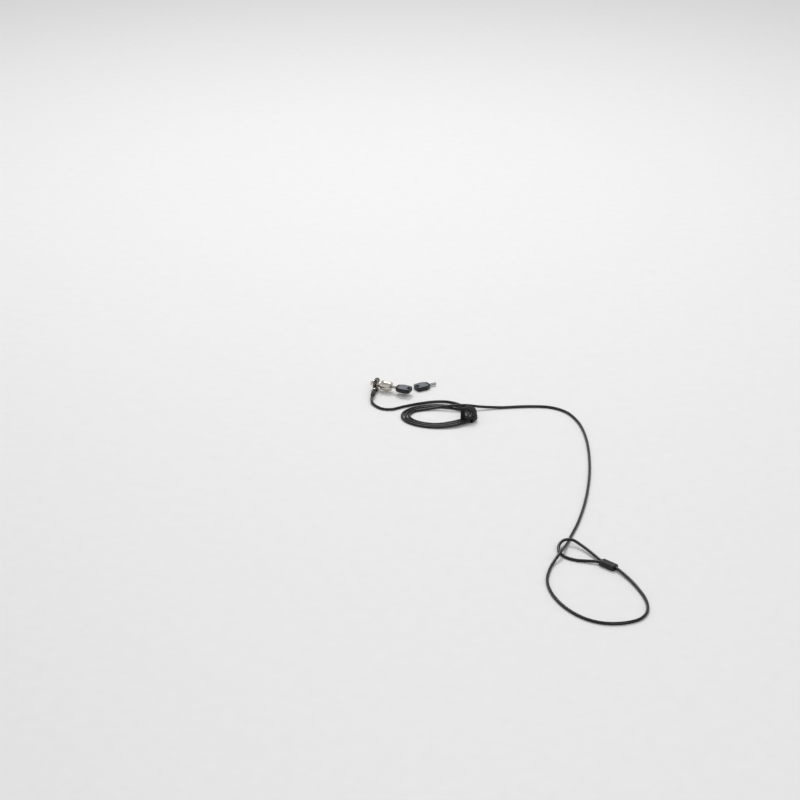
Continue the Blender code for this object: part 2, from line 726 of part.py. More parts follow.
def make_body(nickel, satin_nickel, lock_axis):
    """The lock's round body, with the cam groove that rocks the sidebar in, and the ring on its face."""
    rear_bore = FACE_R + FIT
    outline = [
        (BODY_START, SPIGOT_R + FIT),
        (BODY_START, BODY_R - BODY_ROUND),
        (BODY_START + BODY_ROUND / 3, BODY_R - BODY_ROUND / 3),
        (BODY_START + BODY_ROUND, BODY_R),
        (BODY_END - BODY_ROUND / 2, BODY_R),
        (BODY_END, BODY_R - BODY_ROUND / 2),
        (BODY_END, rear_bore),
        (FACE_START - FIT, rear_bore),
        (FACE_START - FIT, BODY_BORE_R),
        (BODY_START + BODY_FRONT_WALL, BODY_BORE_R),
        (BODY_START + BODY_FRONT_WALL, SPIGOT_R + FIT),
    ]
    body = solid("lock_body", turned_shape(outline), nickel, lock_axis)
    groove = []
    for step in range(GROOVE_STEPS + 1):
        angle = -GROOVE_RUN_IN + (KEY_TURN + GROOVE_RUN_IN) * step / GROOVE_STEPS
        depth = SIDEBAR_LIFT * min(1.0, 1.0 - angle / KEY_TURN)
        groove.append((angle, BODY_BORE_R + depth))
    inside = BODY_BORE_R - CUT_PAST
    groove.append((KEY_TURN, inside))
    groove.append((-GROOVE_RUN_IN, inside))
    points = [(-r * math.sin(math.radians(a)), r * math.cos(math.radians(a))) for a, r in groove]
    cut(body, plate_shape(points, SIDEBAR_START - FIT, SIDEBAR_END + FIT, "X"), "cam_groove")
    face = ring(FACE_START, BODY_END, HUB_R + FIT, FACE_R)
    solid("face_plate", turned_shape(face), satin_nickel, lock_axis)


def keyway_shape(start, end):
    return box_shape((start, -KEYWAY_W / 2, -KEYWAY_T / 2), (end, KEYWAY_W / 2, KEYWAY_T / 2))


def make_rotor(satin_nickel, brass, lock_axis):
    """The turning parts: rotor, discs, sidebar and T-bar."""
    outline = [
        (CAVITY_END, 0.0),
        (CAVITY_END, CAVITY_R),
        (ROTOR_START, CAVITY_R),
        (ROTOR_START, ROTOR_R),
        (ROTOR_END, ROTOR_R),
        (ROTOR_END, HUB_R),
        (BODY_END, HUB_R),
        (BODY_END, 0.0),
    ]
    rotor = solid("rotor", turned_shape(outline), satin_nickel, lock_axis)
    cut(rotor, keyway_shape(CAVITY_END - CUT_PAST, BODY_END + CUT_PAST), "keyway")
    half = SIDEBAR_W / 2 + FIT
    slot_low = (SIDEBAR_START - FIT, -half, DISC_R - CUT_PAST)
    slot_high = (SIDEBAR_END + FIT, half, 2 * ROTOR_R)
    cut(rotor, box_shape(slot_low, slot_high), "sidebar_slot")
    ear_half = T_EAR_W / 2 + FIT
    notch_low = (ROTOR_START - CUT_PAST, -2 * ROTOR_R, -ear_half)
    notch_high = (T_BASE_END + FIT, 2 * ROTOR_R, ear_half)
    cut(rotor, box_shape(notch_low, notch_high), "ear_notch")

    for index in range(DISC_COUNT):
        start = DISCS_START + index * DISC_PITCH
        disc_outline = rod(start, start + DISC_T, DISC_R)
        disc = solid(f"disc_{index + 1}", turned_shape(disc_outline), brass, lock_axis)
        cut(disc, keyway_shape(start - CUT_PAST, start + DISC_T + CUT_PAST), "keyway")
        gate_low = (start - CUT_PAST, -half, SIDEBAR_FOOT - SIDEBAR_LIFT - FIT)
        gate_high = (start + DISC_T + CUT_PAST, half, 2 * DISC_R)
        cut(disc, box_shape(gate_low, gate_high), "gate")

    sidebar_side = axis_empty("sidebar_side", (0.0, 0.0, 0.0), lock_axis, turn=(math.pi / 2, 0.0, 0.0))
    wedge = [
        (SIDEBAR_START, SIDEBAR_FOOT),
        (SIDEBAR_END, SIDEBAR_FOOT),
        (SIDEBAR_END, SIDEBAR_TOP),
        (SIDEBAR_START, ROTOR_R),
    ]
    solid("sidebar", plate_shape(wedge, -SIDEBAR_W / 2, SIDEBAR_W / 2), brass, sidebar_side)

    spindle = [
        (-SLOT_WALL - T_HEAD_T / 2, 0.0),
        (-SLOT_WALL - T_HEAD_T / 2, T_SPINDLE_R),
        (ROTOR_START, T_SPINDLE_R),
        (ROTOR_START, DISC_R),
        (T_BASE_END, DISC_R),
        (T_BASE_END, 0.0),
    ]
    t_bar = solid("t_bar", turned_shape(spindle), satin_nickel, lock_axis)
    head = rounded_outline(T_HEAD_W, T_HEAD_L, T_HEAD_W / 4)
    join(t_bar, plate_shape(head, -SLOT_WALL - T_HEAD_T, -SLOT_WALL, "X"), "head")
    ears_low = (ROTOR_START + FIT, -ROTOR_R + FIT, -T_EAR_W / 2)
    ears_high = (T_BASE_END - FIT, ROTOR_R - FIT, T_EAR_W / 2)
    join(t_bar, box_shape(ears_low, ears_high), "ears")


def blade_outline():
    """The flat outline of a key blade, with its cuts, from the point at -X to the tail in the bow."""
    half = BLADE_W / 2
    edge = [(BLADE_TAIL, half)]
    for index in reversed(range(BLADE_CUTS)):
        middle = -BLADE_L + BLADE_POINT + (index + 1) * DISC_PITCH
        edge += [
            (middle + BLADE_CUT_L / 2, half),
            (middle + BLADE_CUT_L / 4, half - BLADE_CUT),
            (middle - BLADE_CUT_L / 4, half - BLADE_CUT),
            (middle - BLADE_CUT_L / 2, half),
        ]
    edge += [(-BLADE_L + BLADE_POINT, half), (-BLADE_L, half - BLADE_POINT)]
    return mirrored(edge)


def bow_half_width(along):
    """Half the bow's width, which grows up to its shoulder and then narrows a little to its end."""
    if along < BOW_SHOULDER:
        return (BOW_NECK_W + (BOW_W - BOW_NECK_W) * along / BOW_SHOULDER) / 2
    share = (along - BOW_SHOULDER) / (BOW_L - BOW_SHOULDER)
    return (BOW_W + (BOW_END_W - BOW_W) * share) / 2


def mirrored(half):
    """A closed outline from the points of its +Y half."""
    return half + [(x, -y) for x, y in reversed(half)]


def bow_shape():
    """The moulded bow, widest at its shoulder."""
    half = [(x, bow_half_width(x)) for x in (0.0, BOW_SHOULDER, BOW_L)]
    shape = plate_shape(round_corners(mirrored(half), BOW_CORNER), -BOW_T / 2, BOW_T / 2)
    rims = [e for e in shape.edges if abs(e.verts[0].co.z - e.verts[1].co.z) < MERGE]
    bmesh.ops.bevel(shape, geom=rims, offset=BOW_EDGE, segments=2, profile=0.5, affect="EDGES")
    return shape


def panel_shape(low, high):
    """The sunk panel of a bow face, which stops short of the ring hole."""
    end = BOW_L - PANEL_MARGIN
    half = [(x, bow_half_width(x) - PANEL_MARGIN) for x in (PANEL_START, BOW_SHOULDER, end)]
    return plate_shape(round_corners(mirrored(half), PANEL_CORNER), low, high)


def make_key(prefix, steel, bow_plastic, parent):
    """A key whose bow starts at the parent's origin, with its blade towards -X."""
    solid(f"{prefix}_blade", plate_shape(blade_outline(), -BLADE_T / 2, BLADE_T / 2), steel, parent)
    bow = solid(f"{prefix}_bow", bow_shape(), bow_plastic, parent)
    pocket_low = (-CUT_PAST, -KEYWAY_W / 2, -KEYWAY_T / 2)
    pocket_high = (BLADE_TAIL + FIT, KEYWAY_W / 2, KEYWAY_T / 2)
    cut(bow, box_shape(pocket_low, pocket_high), "blade_pocket")
    slot = rounded_outline(KEY_HOLE_W, KEY_HOLE_L, KEY_HOLE_W / 2 - FIT)
    hole = [(BOW_L - KEY_HOLE_FROM_END + x, y) for x, y in slot]
    cut(bow, plate_shape(hole, -BOW_T, BOW_T), "ring_hole")
    cut(bow, panel_shape(BOW_T / 2 - PANEL_DEPTH, BOW_T), "top_panel")
    cut(bow, panel_shape(-BOW_T, PANEL_DEPTH - BOW_T / 2), "under_panel")


def main():
    for thing in list(bpy.data.objects):
        bpy.data.objects.remove(thing)
    nickel = finish("bright_nickel", (0.62, 0.60, 0.56), 0.18, 1.0)
    satin_nickel = finish("satin_nickel", (0.55, 0.53, 0.50), 0.35, 1.0)
    dark_nickel = finish("dark_nickel", (0.10, 0.10, 0.11), 0.25, 1.0)
    brass = finish("brass", (0.55, 0.42, 0.20), 0.35, 1.0)
    crimp_metal = finish("crimp_aluminium", (0.60, 0.60, 0.61), 0.45, 1.0)
    vinyl = finish("cable_vinyl", (0.035, 0.035, 0.037), 0.42)
    moulding = finish("black_moulding", (0.012, 0.012, 0.013), 0.5)
    fabric = finish("strap_fabric", (0.012, 0.012, 0.012), 0.9)
    bow_plastic = finish("bow_plastic", (0.03, 0.032, 0.036), 0.45)

    lock_axis = axis_empty("lock_axis", (SEAT_X, LOCK_Y, LOCK_Z))
    make_nose(nickel, lock_axis)
    make_collar(dark_nickel, nickel, lock_axis)
    make_body(nickel, satin_nickel, lock_axis)
    make_rotor(satin_nickel, brass, lock_axis)
    key_place = axis_empty("key_axis", (BOW_START, 0.0, 0.0), lock_axis)
    make_key("key", satin_nickel, bow_plastic, key_place)
    spare_place = axis_empty(
        "spare_key_place",
        (SPARE_X, SPARE_Y, BOW_T / 2),
        turn=(0.0, 0.0, math.radians(SPARE_TURN + 180.0)),
    )
    spare_front = axis_empty("spare_key_front", (-BOW_L / 2, 0.0, 0.0), spare_place)
    make_key("spare_key", satin_nickel, bow_plastic, spare_front)
    make_cable_end(nickel, moulding)
    make_cable(vinyl)
    make_coil_strap(fabric)
    make_loop_end(crimp_metal, moulding)


main()
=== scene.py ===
# %% [markdown]
# # A laptop cable lock, dressed in Blender
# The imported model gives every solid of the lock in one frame: +X runs along the lock from its nose to
# its key, +Z is up, and the desk is at Z = 0. This lesson keeps that frame and builds the looks round
# it. The small metal pieces are turned and cut again with finer rounds, the cable becomes one smooth
# tube, and the strap becomes a band of hook-and-loop tape. Each finish is a node material that shows
# its own grain.

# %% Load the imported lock
import math

import bpy
from mathutils import Matrix, Vector
from mathutils.geometry import interpolate_bezier


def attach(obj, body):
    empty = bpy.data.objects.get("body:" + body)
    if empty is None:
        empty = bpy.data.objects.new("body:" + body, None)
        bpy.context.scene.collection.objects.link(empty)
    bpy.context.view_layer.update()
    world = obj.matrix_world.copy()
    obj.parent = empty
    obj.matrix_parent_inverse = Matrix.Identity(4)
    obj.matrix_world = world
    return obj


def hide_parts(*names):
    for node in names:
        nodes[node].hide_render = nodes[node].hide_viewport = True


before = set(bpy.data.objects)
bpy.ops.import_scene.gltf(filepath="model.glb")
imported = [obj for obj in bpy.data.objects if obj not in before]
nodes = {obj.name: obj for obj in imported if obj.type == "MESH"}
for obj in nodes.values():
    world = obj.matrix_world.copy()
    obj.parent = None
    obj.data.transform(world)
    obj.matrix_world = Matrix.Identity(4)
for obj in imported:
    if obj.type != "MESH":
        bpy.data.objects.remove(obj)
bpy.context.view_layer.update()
scene = bpy.context.scene
MM = 0.001

# %% [markdown]
# ## Camera
# The photo looks down at the desk from about 25 degrees, with a long lens. A long lens from far away
# keeps the cable's loops from spreading with distance. The camera is set by the point it looks at, its
# compass turn and its height angle, so each can be corrected by itself.

# %% Camera
LOOK_AT = Vector((0.0116, -0.0316, 0.0))
CAMERA_TURN = math.radians(24.0)
CAMERA_RISE = math.radians(25.0)
CAMERA_AWAY = 2.6
LENS = 90.0
SENSOR_WIDTH = 36.0
backwards = Vector(
    (
        math.sin(CAMERA_TURN) * math.cos(CAMERA_RISE),
        -math.cos(CAMERA_TURN) * math.cos(CAMERA_RISE),
        math.sin(CAMERA_RISE),
    )
)
bpy.ops.object.camera_add(location=LOOK_AT + CAMERA_AWAY * backwards)
camera = bpy.context.object
camera.rotation_euler = backwards.to_track_quat("Z", "Y").to_euler()
camera.data.lens = LENS
camera.data.sensor_width = SENSOR_WIDTH
scene.camera = camera
print("camera at", [round(value, 3) for value in camera.location])

# %% [markdown]
# ## Node helpers
# A material is a small tree of nodes. A few short helpers keep the finishes readable: they add a node
# and set its values, spread, blend or colour a pattern, and turn a pattern into a bump on the shader.


# %% Node helpers
def add_node(tree, kind, **values):
    """Adds a node. A value goes to the input of that name, or to the node's own setting."""
    node = tree.nodes.new(kind)
    for name, value in values.items():
        if name in node.inputs:
            node.inputs[name].default_value = value
        else:
            setattr(node, name, value)
    return node


def start_material(name, **values):
    """A new node material, and its Principled shader with the values that are the same all over."""
    material = bpy.data.materials.new(name)
    material.use_nodes = True
    tree = material.node_tree
    shader = tree.nodes["Principled BSDF"]
    for key, value in values.items():
        shader.inputs[key.replace("_", " ")].default_value = value
    return material, tree, shader


def spread(tree, pattern, low, high, start=0.0, stop=1.0):
    """A pattern from start to stop, spread from low to high."""
    node = add_node(tree, "ShaderNodeMapRange")
    tree.links.new(pattern, node.inputs["Value"])
    node.inputs["From Min"].default_value = start
    node.inputs["From Max"].default_value = stop
    node.inputs["To Min"].default_value = low
    node.inputs["To Max"].default_value = high
    return node.outputs["Result"]


def math_node(tree, operation, first, second=None):
    """One step of arithmetic on sockets or numbers."""
    node = add_node(tree, "ShaderNodeMath", operation=operation)
    for socket, value in zip(node.inputs, (first, second)):
        if isinstance(value, (int, float)):
            socket.default_value = value
        elif value is not None:
            tree.links.new(value, socket)
    return node.outputs["Value"]


def blended(tree, first, second, share):
    """Two patterns added, where share is the first one's part of the whole."""
    first_part = math_node(tree, "MULTIPLY", first, share)
    second_part = math_node(tree, "MULTIPLY", second, 1.0 - share)
    return math_node(tree, "ADD", first_part, second_part)


def colours(tree, pattern, *stops):
    """A colour ramp over a pattern. A stop is a place and a grey or a colour."""
    ramp = add_node(tree, "ShaderNodeValToRGB")
    tree.links.new(pattern, ramp.inputs["Fac"])
    marks = ramp.color_ramp.elements
    while len(marks) < len(stops):
        marks.new(0.5)
    for mark, (place, shade) in zip(marks, stops):
        mark.position = place
        mark.color = (*shade, 1.0) if isinstance(shade, tuple) else (shade, shade, shade, 1.0)
    return ramp.outputs["Color"]


def stretched(tree, scale, turn=0.0):
    """Object coordinates, turned about Z and stretched, for a grain that runs one way."""
    place = add_node(tree, "ShaderNodeTexCoord")
    turned = add_node(tree, "ShaderNodeMapping", Rotation=(0.0, 0.0, -turn))
    tree.links.new(place.outputs["Object"], turned.inputs["Vector"])
    mapping = add_node(tree, "ShaderNodeMapping", Scale=scale)
    tree.links.new(turned.outputs["Vector"], mapping.inputs["Vector"])
    return mapping.outputs["Vector"]


def noise(tree, where, scale, detail=3.0, roughness=0.55):
    """A cloudy 0 to 1 pattern, where a larger scale is finer."""
    node = add_node(tree, "ShaderNodeTexNoise", Scale=scale, Detail=detail, Roughness=roughness)
    tree.links.new(where, node.inputs["Vector"])
    return node.outputs["Fac"]


def raise_bump(tree, shader, height, depth, strength=1.0):
    """Raises the surface by a pattern, whose full height is depth in metres."""
    bump = add_node(tree, "ShaderNodeBump", Distance=depth, Strength=strength)
    tree.links.new(height, bump.inputs["Height"])
    tree.links.new(bump.outputs["Normal"], shader.inputs["Normal"])


print("node helpers ready")

# %% [markdown]
# ## Floor and light
# The desk is a pale matt board. A plain white sky gives most of the light, bright overhead and dimmer
# towards the horizon. One large soft lamp above and behind the cable gives the tubes a long highlight
# and throws their soft shadow forward, and a weaker one in front fills the dark side. Together they
# light a colour at about the level it is written in. The camera and every mirror-like or clear surface
# see a backdrop in place of that sky: pale grey at the horizon and darker overhead, so polished metal
# shows both light and dark.

# %% Floor, world and lamps
FLOOR_SIZE = 16.0
bpy.ops.object.select_all(action="DESELECT")
bpy.ops.mesh.primitive_plane_add(size=FLOOR_SIZE, location=(0.0, 0.0, 0.0))
floor = bpy.context.object
floor.name = "desk_floor"
floor_paint, tree, shader = start_material("pale_desk", Roughness=0.55, Specular_IOR_Level=0.25)
grain = noise(tree, stretched(tree, (1.0, 1.0, 1.0)), 60.0)
tree.links.new(colours(tree, grain, (0.3, 0.845), (0.7, 0.865)), shader.inputs["Base Color"])
floor.data.materials.append(floor_paint)

world = bpy.data.worlds.new("studio")
scene.world = world
world.use_nodes = True
tree = world.node_tree
backdrop = tree.nodes["Background"]
backdrop.inputs["Color"].default_value = (1.0, 1.0, 1.0, 1.0)
HORIZON_LIGHT = 0.24
OVERHEAD_LIGHT = 0.68
HORIZON_BACKDROP = 0.80
OVERHEAD_BACKDROP = 0.40
way = add_node(tree, "ShaderNodeSeparateXYZ")
tree.links.new(add_node(tree, "ShaderNodeTexCoord").outputs["Generated"], way.inputs["Vector"])
sky = spread(tree, way.outputs["Z"], HORIZON_LIGHT, OVERHEAD_LIGHT)
backdrop_shade = spread(tree, way.outputs["Z"], HORIZON_BACKDROP, OVERHEAD_BACKDROP, 0.15, 0.9)
light_path = add_node(tree, "ShaderNodeLightPath")
from_camera = light_path.outputs["Is Camera Ray"]
through_glass = math_node(tree, "MAXIMUM", from_camera, light_path.outputs["Is Transmission Ray"])
seen = math_node(tree, "MAXIMUM", through_glass, light_path.outputs["Is Glossy Ray"])
unseen = math_node(tree, "SUBTRACT", 1.0, seen)
seen_part = math_node(tree, "MULTIPLY", backdrop_shade, seen)
strength = math_node(tree, "ADD", seen_part, math_node(tree, "MULTIPLY", sky, unseen))
tree.links.new(strength, backdrop.inputs["Strength"])


CABLE_MIDDLE = Vector((0.1, -0.15, 0.0))


def add_softbox(name, place, size, power):
    """A square lamp that faces the middle of the cable."""
    bpy.ops.object.light_add(type="AREA", location=place)
    lamp = bpy.context.object
    lamp.name = name
    lamp.data.size = size
    lamp.data.energy = power
    aim = Vector(place) - CABLE_MIDDLE
    lamp.rotation_euler = aim.to_track_quat("Z", "Y").to_euler()


add_softbox("key_softbox", (-0.6, 1.15, 2.2), 1.1, 30.0)
add_softbox("fill_softbox", (1.6, -1.5, 1.8), 1.6, 12.0)
print("floor", FLOOR_SIZE, "m wide, overhead light", OVERHEAD_LIGHT)

# %% [markdown]
# ## The cable's course
# The cable is one length of steel strand under vinyl: it leaves the lock's crimped end, makes nearly
# three flat wraps in the strap, crosses the desk in a long curve and ends in a loop that its own run
# passes through. The course follows points measured on the photo's cable, joined by a smooth spline,
# and where the cable crosses itself the upper strand rises in a low hump. The wraps are an oval
# spiral, written as a formula because it is regular.

# %% Course of the cable
CABLE_D = 3.5 * MM
CABLE_R = CABLE_D / 2
CROSSING_RISE = CABLE_D + 0.6 * MM
SEAT = Vector((-33.1 * MM, -15.4 * MM, 8.5 * MM))
PIN = SEAT + Vector((6.4 * MM, -12.2 * MM, -3.6 * MM))
CABLE_END_TURN = math.radians(15.0 - 90.0)
BARREL_END = 12.3 * MM
LEAD_SLEEVE_L = 5.0 * MM
SLEEVE = Vector((398.9 * MM, -337.2 * MM, 3.35 * MM))
SLEEVE_TURN = math.radians(160.0)
SLEEVE_L = 20.0 * MM
CRIMP_L = 13.0 * MM
WRAPS_MIDDLE = Vector((76.7 * MM, -58.9 * MM, 0.0))
WRAPS_TURN = math.radians(24.0)
WRAPS_LONG = 48.1 * MM
WRAPS_SHORT = 34.9 * MM
WRAP_STEP_LONG = 4.6 * MM
WRAP_STEP_SHORT = 4.4 * MM
WRAPS_START = -20.0
WRAPS_END = 940.0
WRAP_STEP = 15.0
STRAP_ANGLE = 22.0
STRAP_BELOW = 1.8 * MM
STRAP_LIFT = STRAP_BELOW + 0.35 * MM
LIFT_ENDS = 80.0
LIFT_RUN = 52.0

# X and Y in millimetres, and the height as a share of a crossing
LEAD_ROUTE = (
    (-20.5, -50.0, 0.65),
    (-16.3, -57.6, 0.25),
    (-8.0, -64.3, 0.0),
    (3.5, -68.4, 0.0),
    (14.5, -65.0, 0.0),
    (26.5, -50.0, 0.0),
    (41.0, -34.0, 0.0),
    (57.5, -20.5, 0.0),
    (73.0, -14.7, 0.0),
    (87.5, -16.2, 0.02),
    (100.0, -23.5, 0.2),
)
RUN_ROUTE = (
    (66.5, -40.2, 0.3),
    (75.0, -36.8, 0.75),
    (84.0, -33.6, 1.15),
    (101.0, -27.6, 1.5),
    (118.0, -16.8, 0.66),
    (141.0, -3.2, 0.05),
    (174.0, 15.5, 0.0),
    (198.5, 23.5, 0.0),
    (221.0, 19.0, 0.0),
    (244.0, -1.0, 0.0),
    (268.0, -38.0, 0.0),
    (299.5, -112.5, 0.0),
    (323.0, -192.5, 0.0),
    (334.9, -254.5, 0.0),
    (338.3, -286.7, 0.0),
    (340.6, -309.5, 0.05),
    (343.0, -336.6, 1.2),
    (341.5, -358.5, 0.15),
    (343.9, -378.3, 0.0),
    (349.2, -396.2, 0.0),
    (359.3, -413.9, 0.0),
    (374.7, -431.1, 0.0),
    (393.6, -444.8, 0.0),
    (413.1, -452.7, 0.0),
    (430.0, -453.6, 0.0),
    (444.0, -449.3, 0.0),
    (456.5, -441.0, 0.0),
    (465.2, -430.0, 0.0),
    (467.9, -417.0, 0.0),
    (465.2, -403.0, 0.0),
    (457.0, -387.0, 0.0),
    (445.5, -372.4, 0.02),
    (431.0, -357.4, 0.15),
)
LOOP_ROUTE = (
    (370.7, -318.0, 0.5),
    (356.5, -309.3, 0.8),
    (345.0, -305.6, 1.2),
    (337.0, -309.0, 1.08),
    (334.5, -318.5, 0.55),
    (339.0, -330.0, 0.1),
    (349.0, -337.2, 0.0),
    (361.6, -339.0, 0.0),
    (373.9, -336.9, 0.15),
)


def ease(share):
    """A smooth step from 0 to 1."""
    share = min(max(share, 0.0), 1.0)
    return share * share * (3 - 2 * share)


def on_desk(route):
    return [Vector((x * MM, y * MM, CABLE_R + lift * CROSSING_RISE)) for x, y, lift in route]


def wrap_point(angle):
    """A point on the wraps, which close in as the angle grows clockwise, seen from above."""
    turns = angle / 360.0
    along = (WRAPS_LONG - turns * WRAP_STEP_LONG) * math.cos(math.radians(angle))
    across = -(WRAPS_SHORT - turns * WRAP_STEP_SHORT) * math.sin(math.radians(angle))
    from_strap = abs((angle - STRAP_ANGLE + 180.0) % 360.0 - 180.0)
    lift = ease((LIFT_ENDS - from_strap) / LIFT_RUN)
    flat = Matrix.Rotation(WRAPS_TURN, 3, "Z") @ Vector((along, across, 0.0))
    return WRAPS_MIDDLE + flat + Vector((0.0, 0.0, CABLE_R + lift * STRAP_LIFT))


def handle_after(before, here, after):
    """The Bezier handle of a centripetal Catmull-Rom curve, just past the middle of three points."""
    near = math.sqrt((here - before).length)
    far = math.sqrt((after - here).length)
    share = 2 * near * near + 3 * near * far + far * far
    return (near * near * after - far * far * before + share * here) / (3 * near * (near + far))


def curve_through(points, steps=16):
    """A smooth curve through the points, kept on the desk, as a fine list of points."""
    ends = [2 * points[0] - points[1], *points, 2 * points[-1] - points[-2]]
    path = [points[0]]
    for before, start, stop, after in zip(ends, ends[1:], ends[2:], ends[3:]):
        first_handle = handle_after(before, start, stop)
        second_handle = handle_after(after, stop, start)
        path += interpolate_bezier(start, first_handle, second_handle, stop, steps + 1)[1:]
    for point in path:
        point.z = max(point.z, CABLE_R)
    return path


def path_length(path):
    return sum((second - first).length for first, second in zip(path, path[1:]))


def spaced(path, count):
    """The same path with its points an equal way apart."""
    step = path_length(path) / (count - 1)
    points = [path[0]]
    walked = 0.0
    for first, second in zip(path, path[1:]):
        span = (second - first).length
        while walked + span >= step * len(points) and len(points) < count - 1:
            points.append(first.lerp(second, (step * len(points) - walked) / span))
        walked += span
    return [*points, path[-1]]


out_of_lock = Vector((math.cos(CABLE_END_TURN), math.sin(CABLE_END_TURN), 0.0))
SMALL_GAP = 0.3 * MM
lead_start = PIN + (BARREL_END + SMALL_GAP) * out_of_lock
lead_free = lead_start + (LEAD_SLEEVE_L + CABLE_R) * out_of_lock
wrap_steps = int((WRAPS_END - WRAPS_START) / WRAP_STEP)
wraps = [wrap_point(WRAPS_START + WRAP_STEP * step) for step in range(wrap_steps + 1)]
into_loop = Vector((math.cos(SLEEVE_TURN), math.sin(SLEEVE_TURN), 0.0))
beside = (CABLE_R + 0.2 * MM) * Vector((into_loop.y, -into_loop.x, 0.0))
sleeve_mouth = (SLEEVE_L / 2 + CABLE_R) * into_loop
crimp_end = (CRIMP_L / 2) * into_loop
course = [lead_start, lead_free, *on_desk(LEAD_ROUTE), *wraps, *on_desk(RUN_ROUTE)]
course += [SLEEVE - sleeve_mouth, SLEEVE - crimp_end]
course += [SLEEVE + crimp_end + beside, SLEEVE + sleeve_mouth + beside]
course += on_desk(LOOP_ROUTE)
course += [SLEEVE + sleeve_mouth - beside, SLEEVE + crimp_end - beside]
RING_STEP = 1.5 * MM
smooth_course = curve_through(course)
cable_length = path_length(smooth_course)
cable_path = spaced(smooth_course, int(cable_length / RING_STEP))
print(f"cable course {cable_length:.4f} m in {len(course)} points")

# %% [markdown]
# ## Vinyl over twisted strand
# The cover is a near-black vinyl with a narrow shine, pressed on to a twisted steel strand. On such a
# cable the strand's lay shows as faint slanting bands under the skin. The tube's own UV map runs once
# along the cable and once round it, so a slanted wave on it follows every bend. Fine noise gives
# handling marks.

# %% Vinyl finish
LAY_LENGTH = 14.0 * MM
LAY_STRANDS = 6.0
LAY_HEIGHT = 0.02 * MM
vinyl, tree, shader = start_material("cable_vinyl", IOR=1.5, Specular_IOR_Level=0.32)
uv = add_node(tree, "ShaderNodeTexCoord").outputs["UV"]
split_uv = add_node(tree, "ShaderNodeSeparateXYZ")
tree.links.new(uv, split_uv.inputs["Vector"])
along_cable = math_node(tree, "MULTIPLY", split_uv.outputs["X"], cable_length / LAY_LENGTH)
slant = math_node(tree, "ADD", along_cable, split_uv.outputs["Y"])
lay_wave = math_node(tree, "SINE", math_node(tree, "MULTIPLY", slant, 2 * math.pi * LAY_STRANDS))
lay = spread(tree, lay_wave, 0.0, 1.0, -1.0, 1.0)
skin = stretched(tree, (1.0, 1.0, 1.0))
marks = noise(tree, skin, 350.0, 5.0)
fine = noise(tree, skin, 5200.0, 2.0)
shade = blended(tree, lay, marks, 0.3)
vinyl_shades = colours(tree, shade, (0.25, (0.006, 0.006, 0.007)), (0.75, (0.014, 0.014, 0.015)))
tree.links.new(vinyl_shades, shader.inputs["Base Color"])
tree.links.new(spread(tree, marks, 0.13, 0.22, 0.3, 0.7), shader.inputs["Roughness"])
raise_bump(tree, shader, blended(tree, lay, fine, 0.93), LAY_HEIGHT)
print("vinyl lay every", round(LAY_LENGTH / LAY_STRANDS / MM, 2), "mm")

# %% [markdown]
# ## The cable
# A curve with a round bevel makes a tube along the course. It is then made a mesh, which keeps the
# curve's UV map, so the vinyl's lay can follow it. It stands for the four plain stretches of the packed
# model.

# %% Cable tube
CABLE_SIDES = 6
cable_curve = bpy.data.curves.new("vinyl_cable", "CURVE")
cable_curve.dimensions = "3D"
cable_curve.bevel_depth = CABLE_R
cable_curve.bevel_resolution = CABLE_SIDES
cable_curve.use_fill_caps = True
spline = cable_curve.splines.new("POLY")
spline.points.add(len(cable_path) - 1)
for target, point in zip(spline.points, cable_path):
    target.co = (*point, 1.0)
cable = bpy.data.objects.new("vinyl_cable", cable_curve)
scene.collection.objects.link(cable)
bpy.ops.object.select_all(action="DESELECT")
cable.select_set(True)
bpy.context.view_layer.objects.active = cable
bpy.ops.object.convert(target="MESH")
cable = bpy.context.object
bpy.ops.object.shade_smooth()
cable.data.materials.clear()
cable.data.materials.append(vinyl)
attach(cable, "cable")
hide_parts("cable_lead", "cable_coil", "cable_run", "cable_loop")
print("cable tube:", len(cable.data.polygons), "faces, UV maps:", len(cable.data.uv_layers))

# %% [markdown]
# ## Shaping helpers
# A round piece is drawn as half its section, one vertex extruded from point to point, and spun about
# its axis. A flat piece is an outline filled with a face and extruded. A Boolean joins or cuts them,
# and a Bevel rounds the edges that stay sharp, as tumbling does to small die-cast pieces. Each piece is
# drawn about the origin and set in its place at the end, with its place applied to the mesh.


# %% Shaping helpers
def draw_chain(name, points):
    """One vertex extruded from point to point. The piece stays in edit mode, all selected."""
    bpy.ops.object.select_all(action="DESELECT")
    bpy.ops.mesh.primitive_plane_add(size=0.1 * MM, location=(0.0, 0.0, 0.0))
    piece = bpy.context.object
    piece.name = name
    piece.data.name = name
    bpy.ops.object.mode_set(mode="EDIT")
    bpy.ops.mesh.merge(type="CENTER")
    bpy.ops.transform.translate(value=points[0])
    for first, second in zip(points, points[1:]):
        step = Vector(second) - Vector(first)
        bpy.ops.mesh.extrude_region_move(TRANSFORM_OT_translate={"value": step})
    bpy.ops.mesh.select_all(action="SELECT")
    return piece


def close_skin():
    """Merges doubled points and turns all faces outwards, then leaves edit mode."""
    bpy.ops.mesh.select_all(action="SELECT")
    bpy.ops.mesh.remove_doubles(threshold=0.001 * MM)
    bpy.ops.mesh.normals_make_consistent(inside=False)
    bpy.ops.object.mode_set(mode="OBJECT")


def turned(name, section, steps=96):
    """(along X, radius) points in millimetres, spun about the X axis."""
    points = [Vector((along, 0.0, radius)) * MM for along, radius in section]
    if section[0][1] > 0:
        points.append(points[0])
    piece = draw_chain(name, points)
    bpy.ops.mesh.spin(steps=steps, angle=2 * math.pi, center=(0.0, 0.0, 0.0), axis=(1.0, 0.0, 0.0))
    close_skin()
    return piece


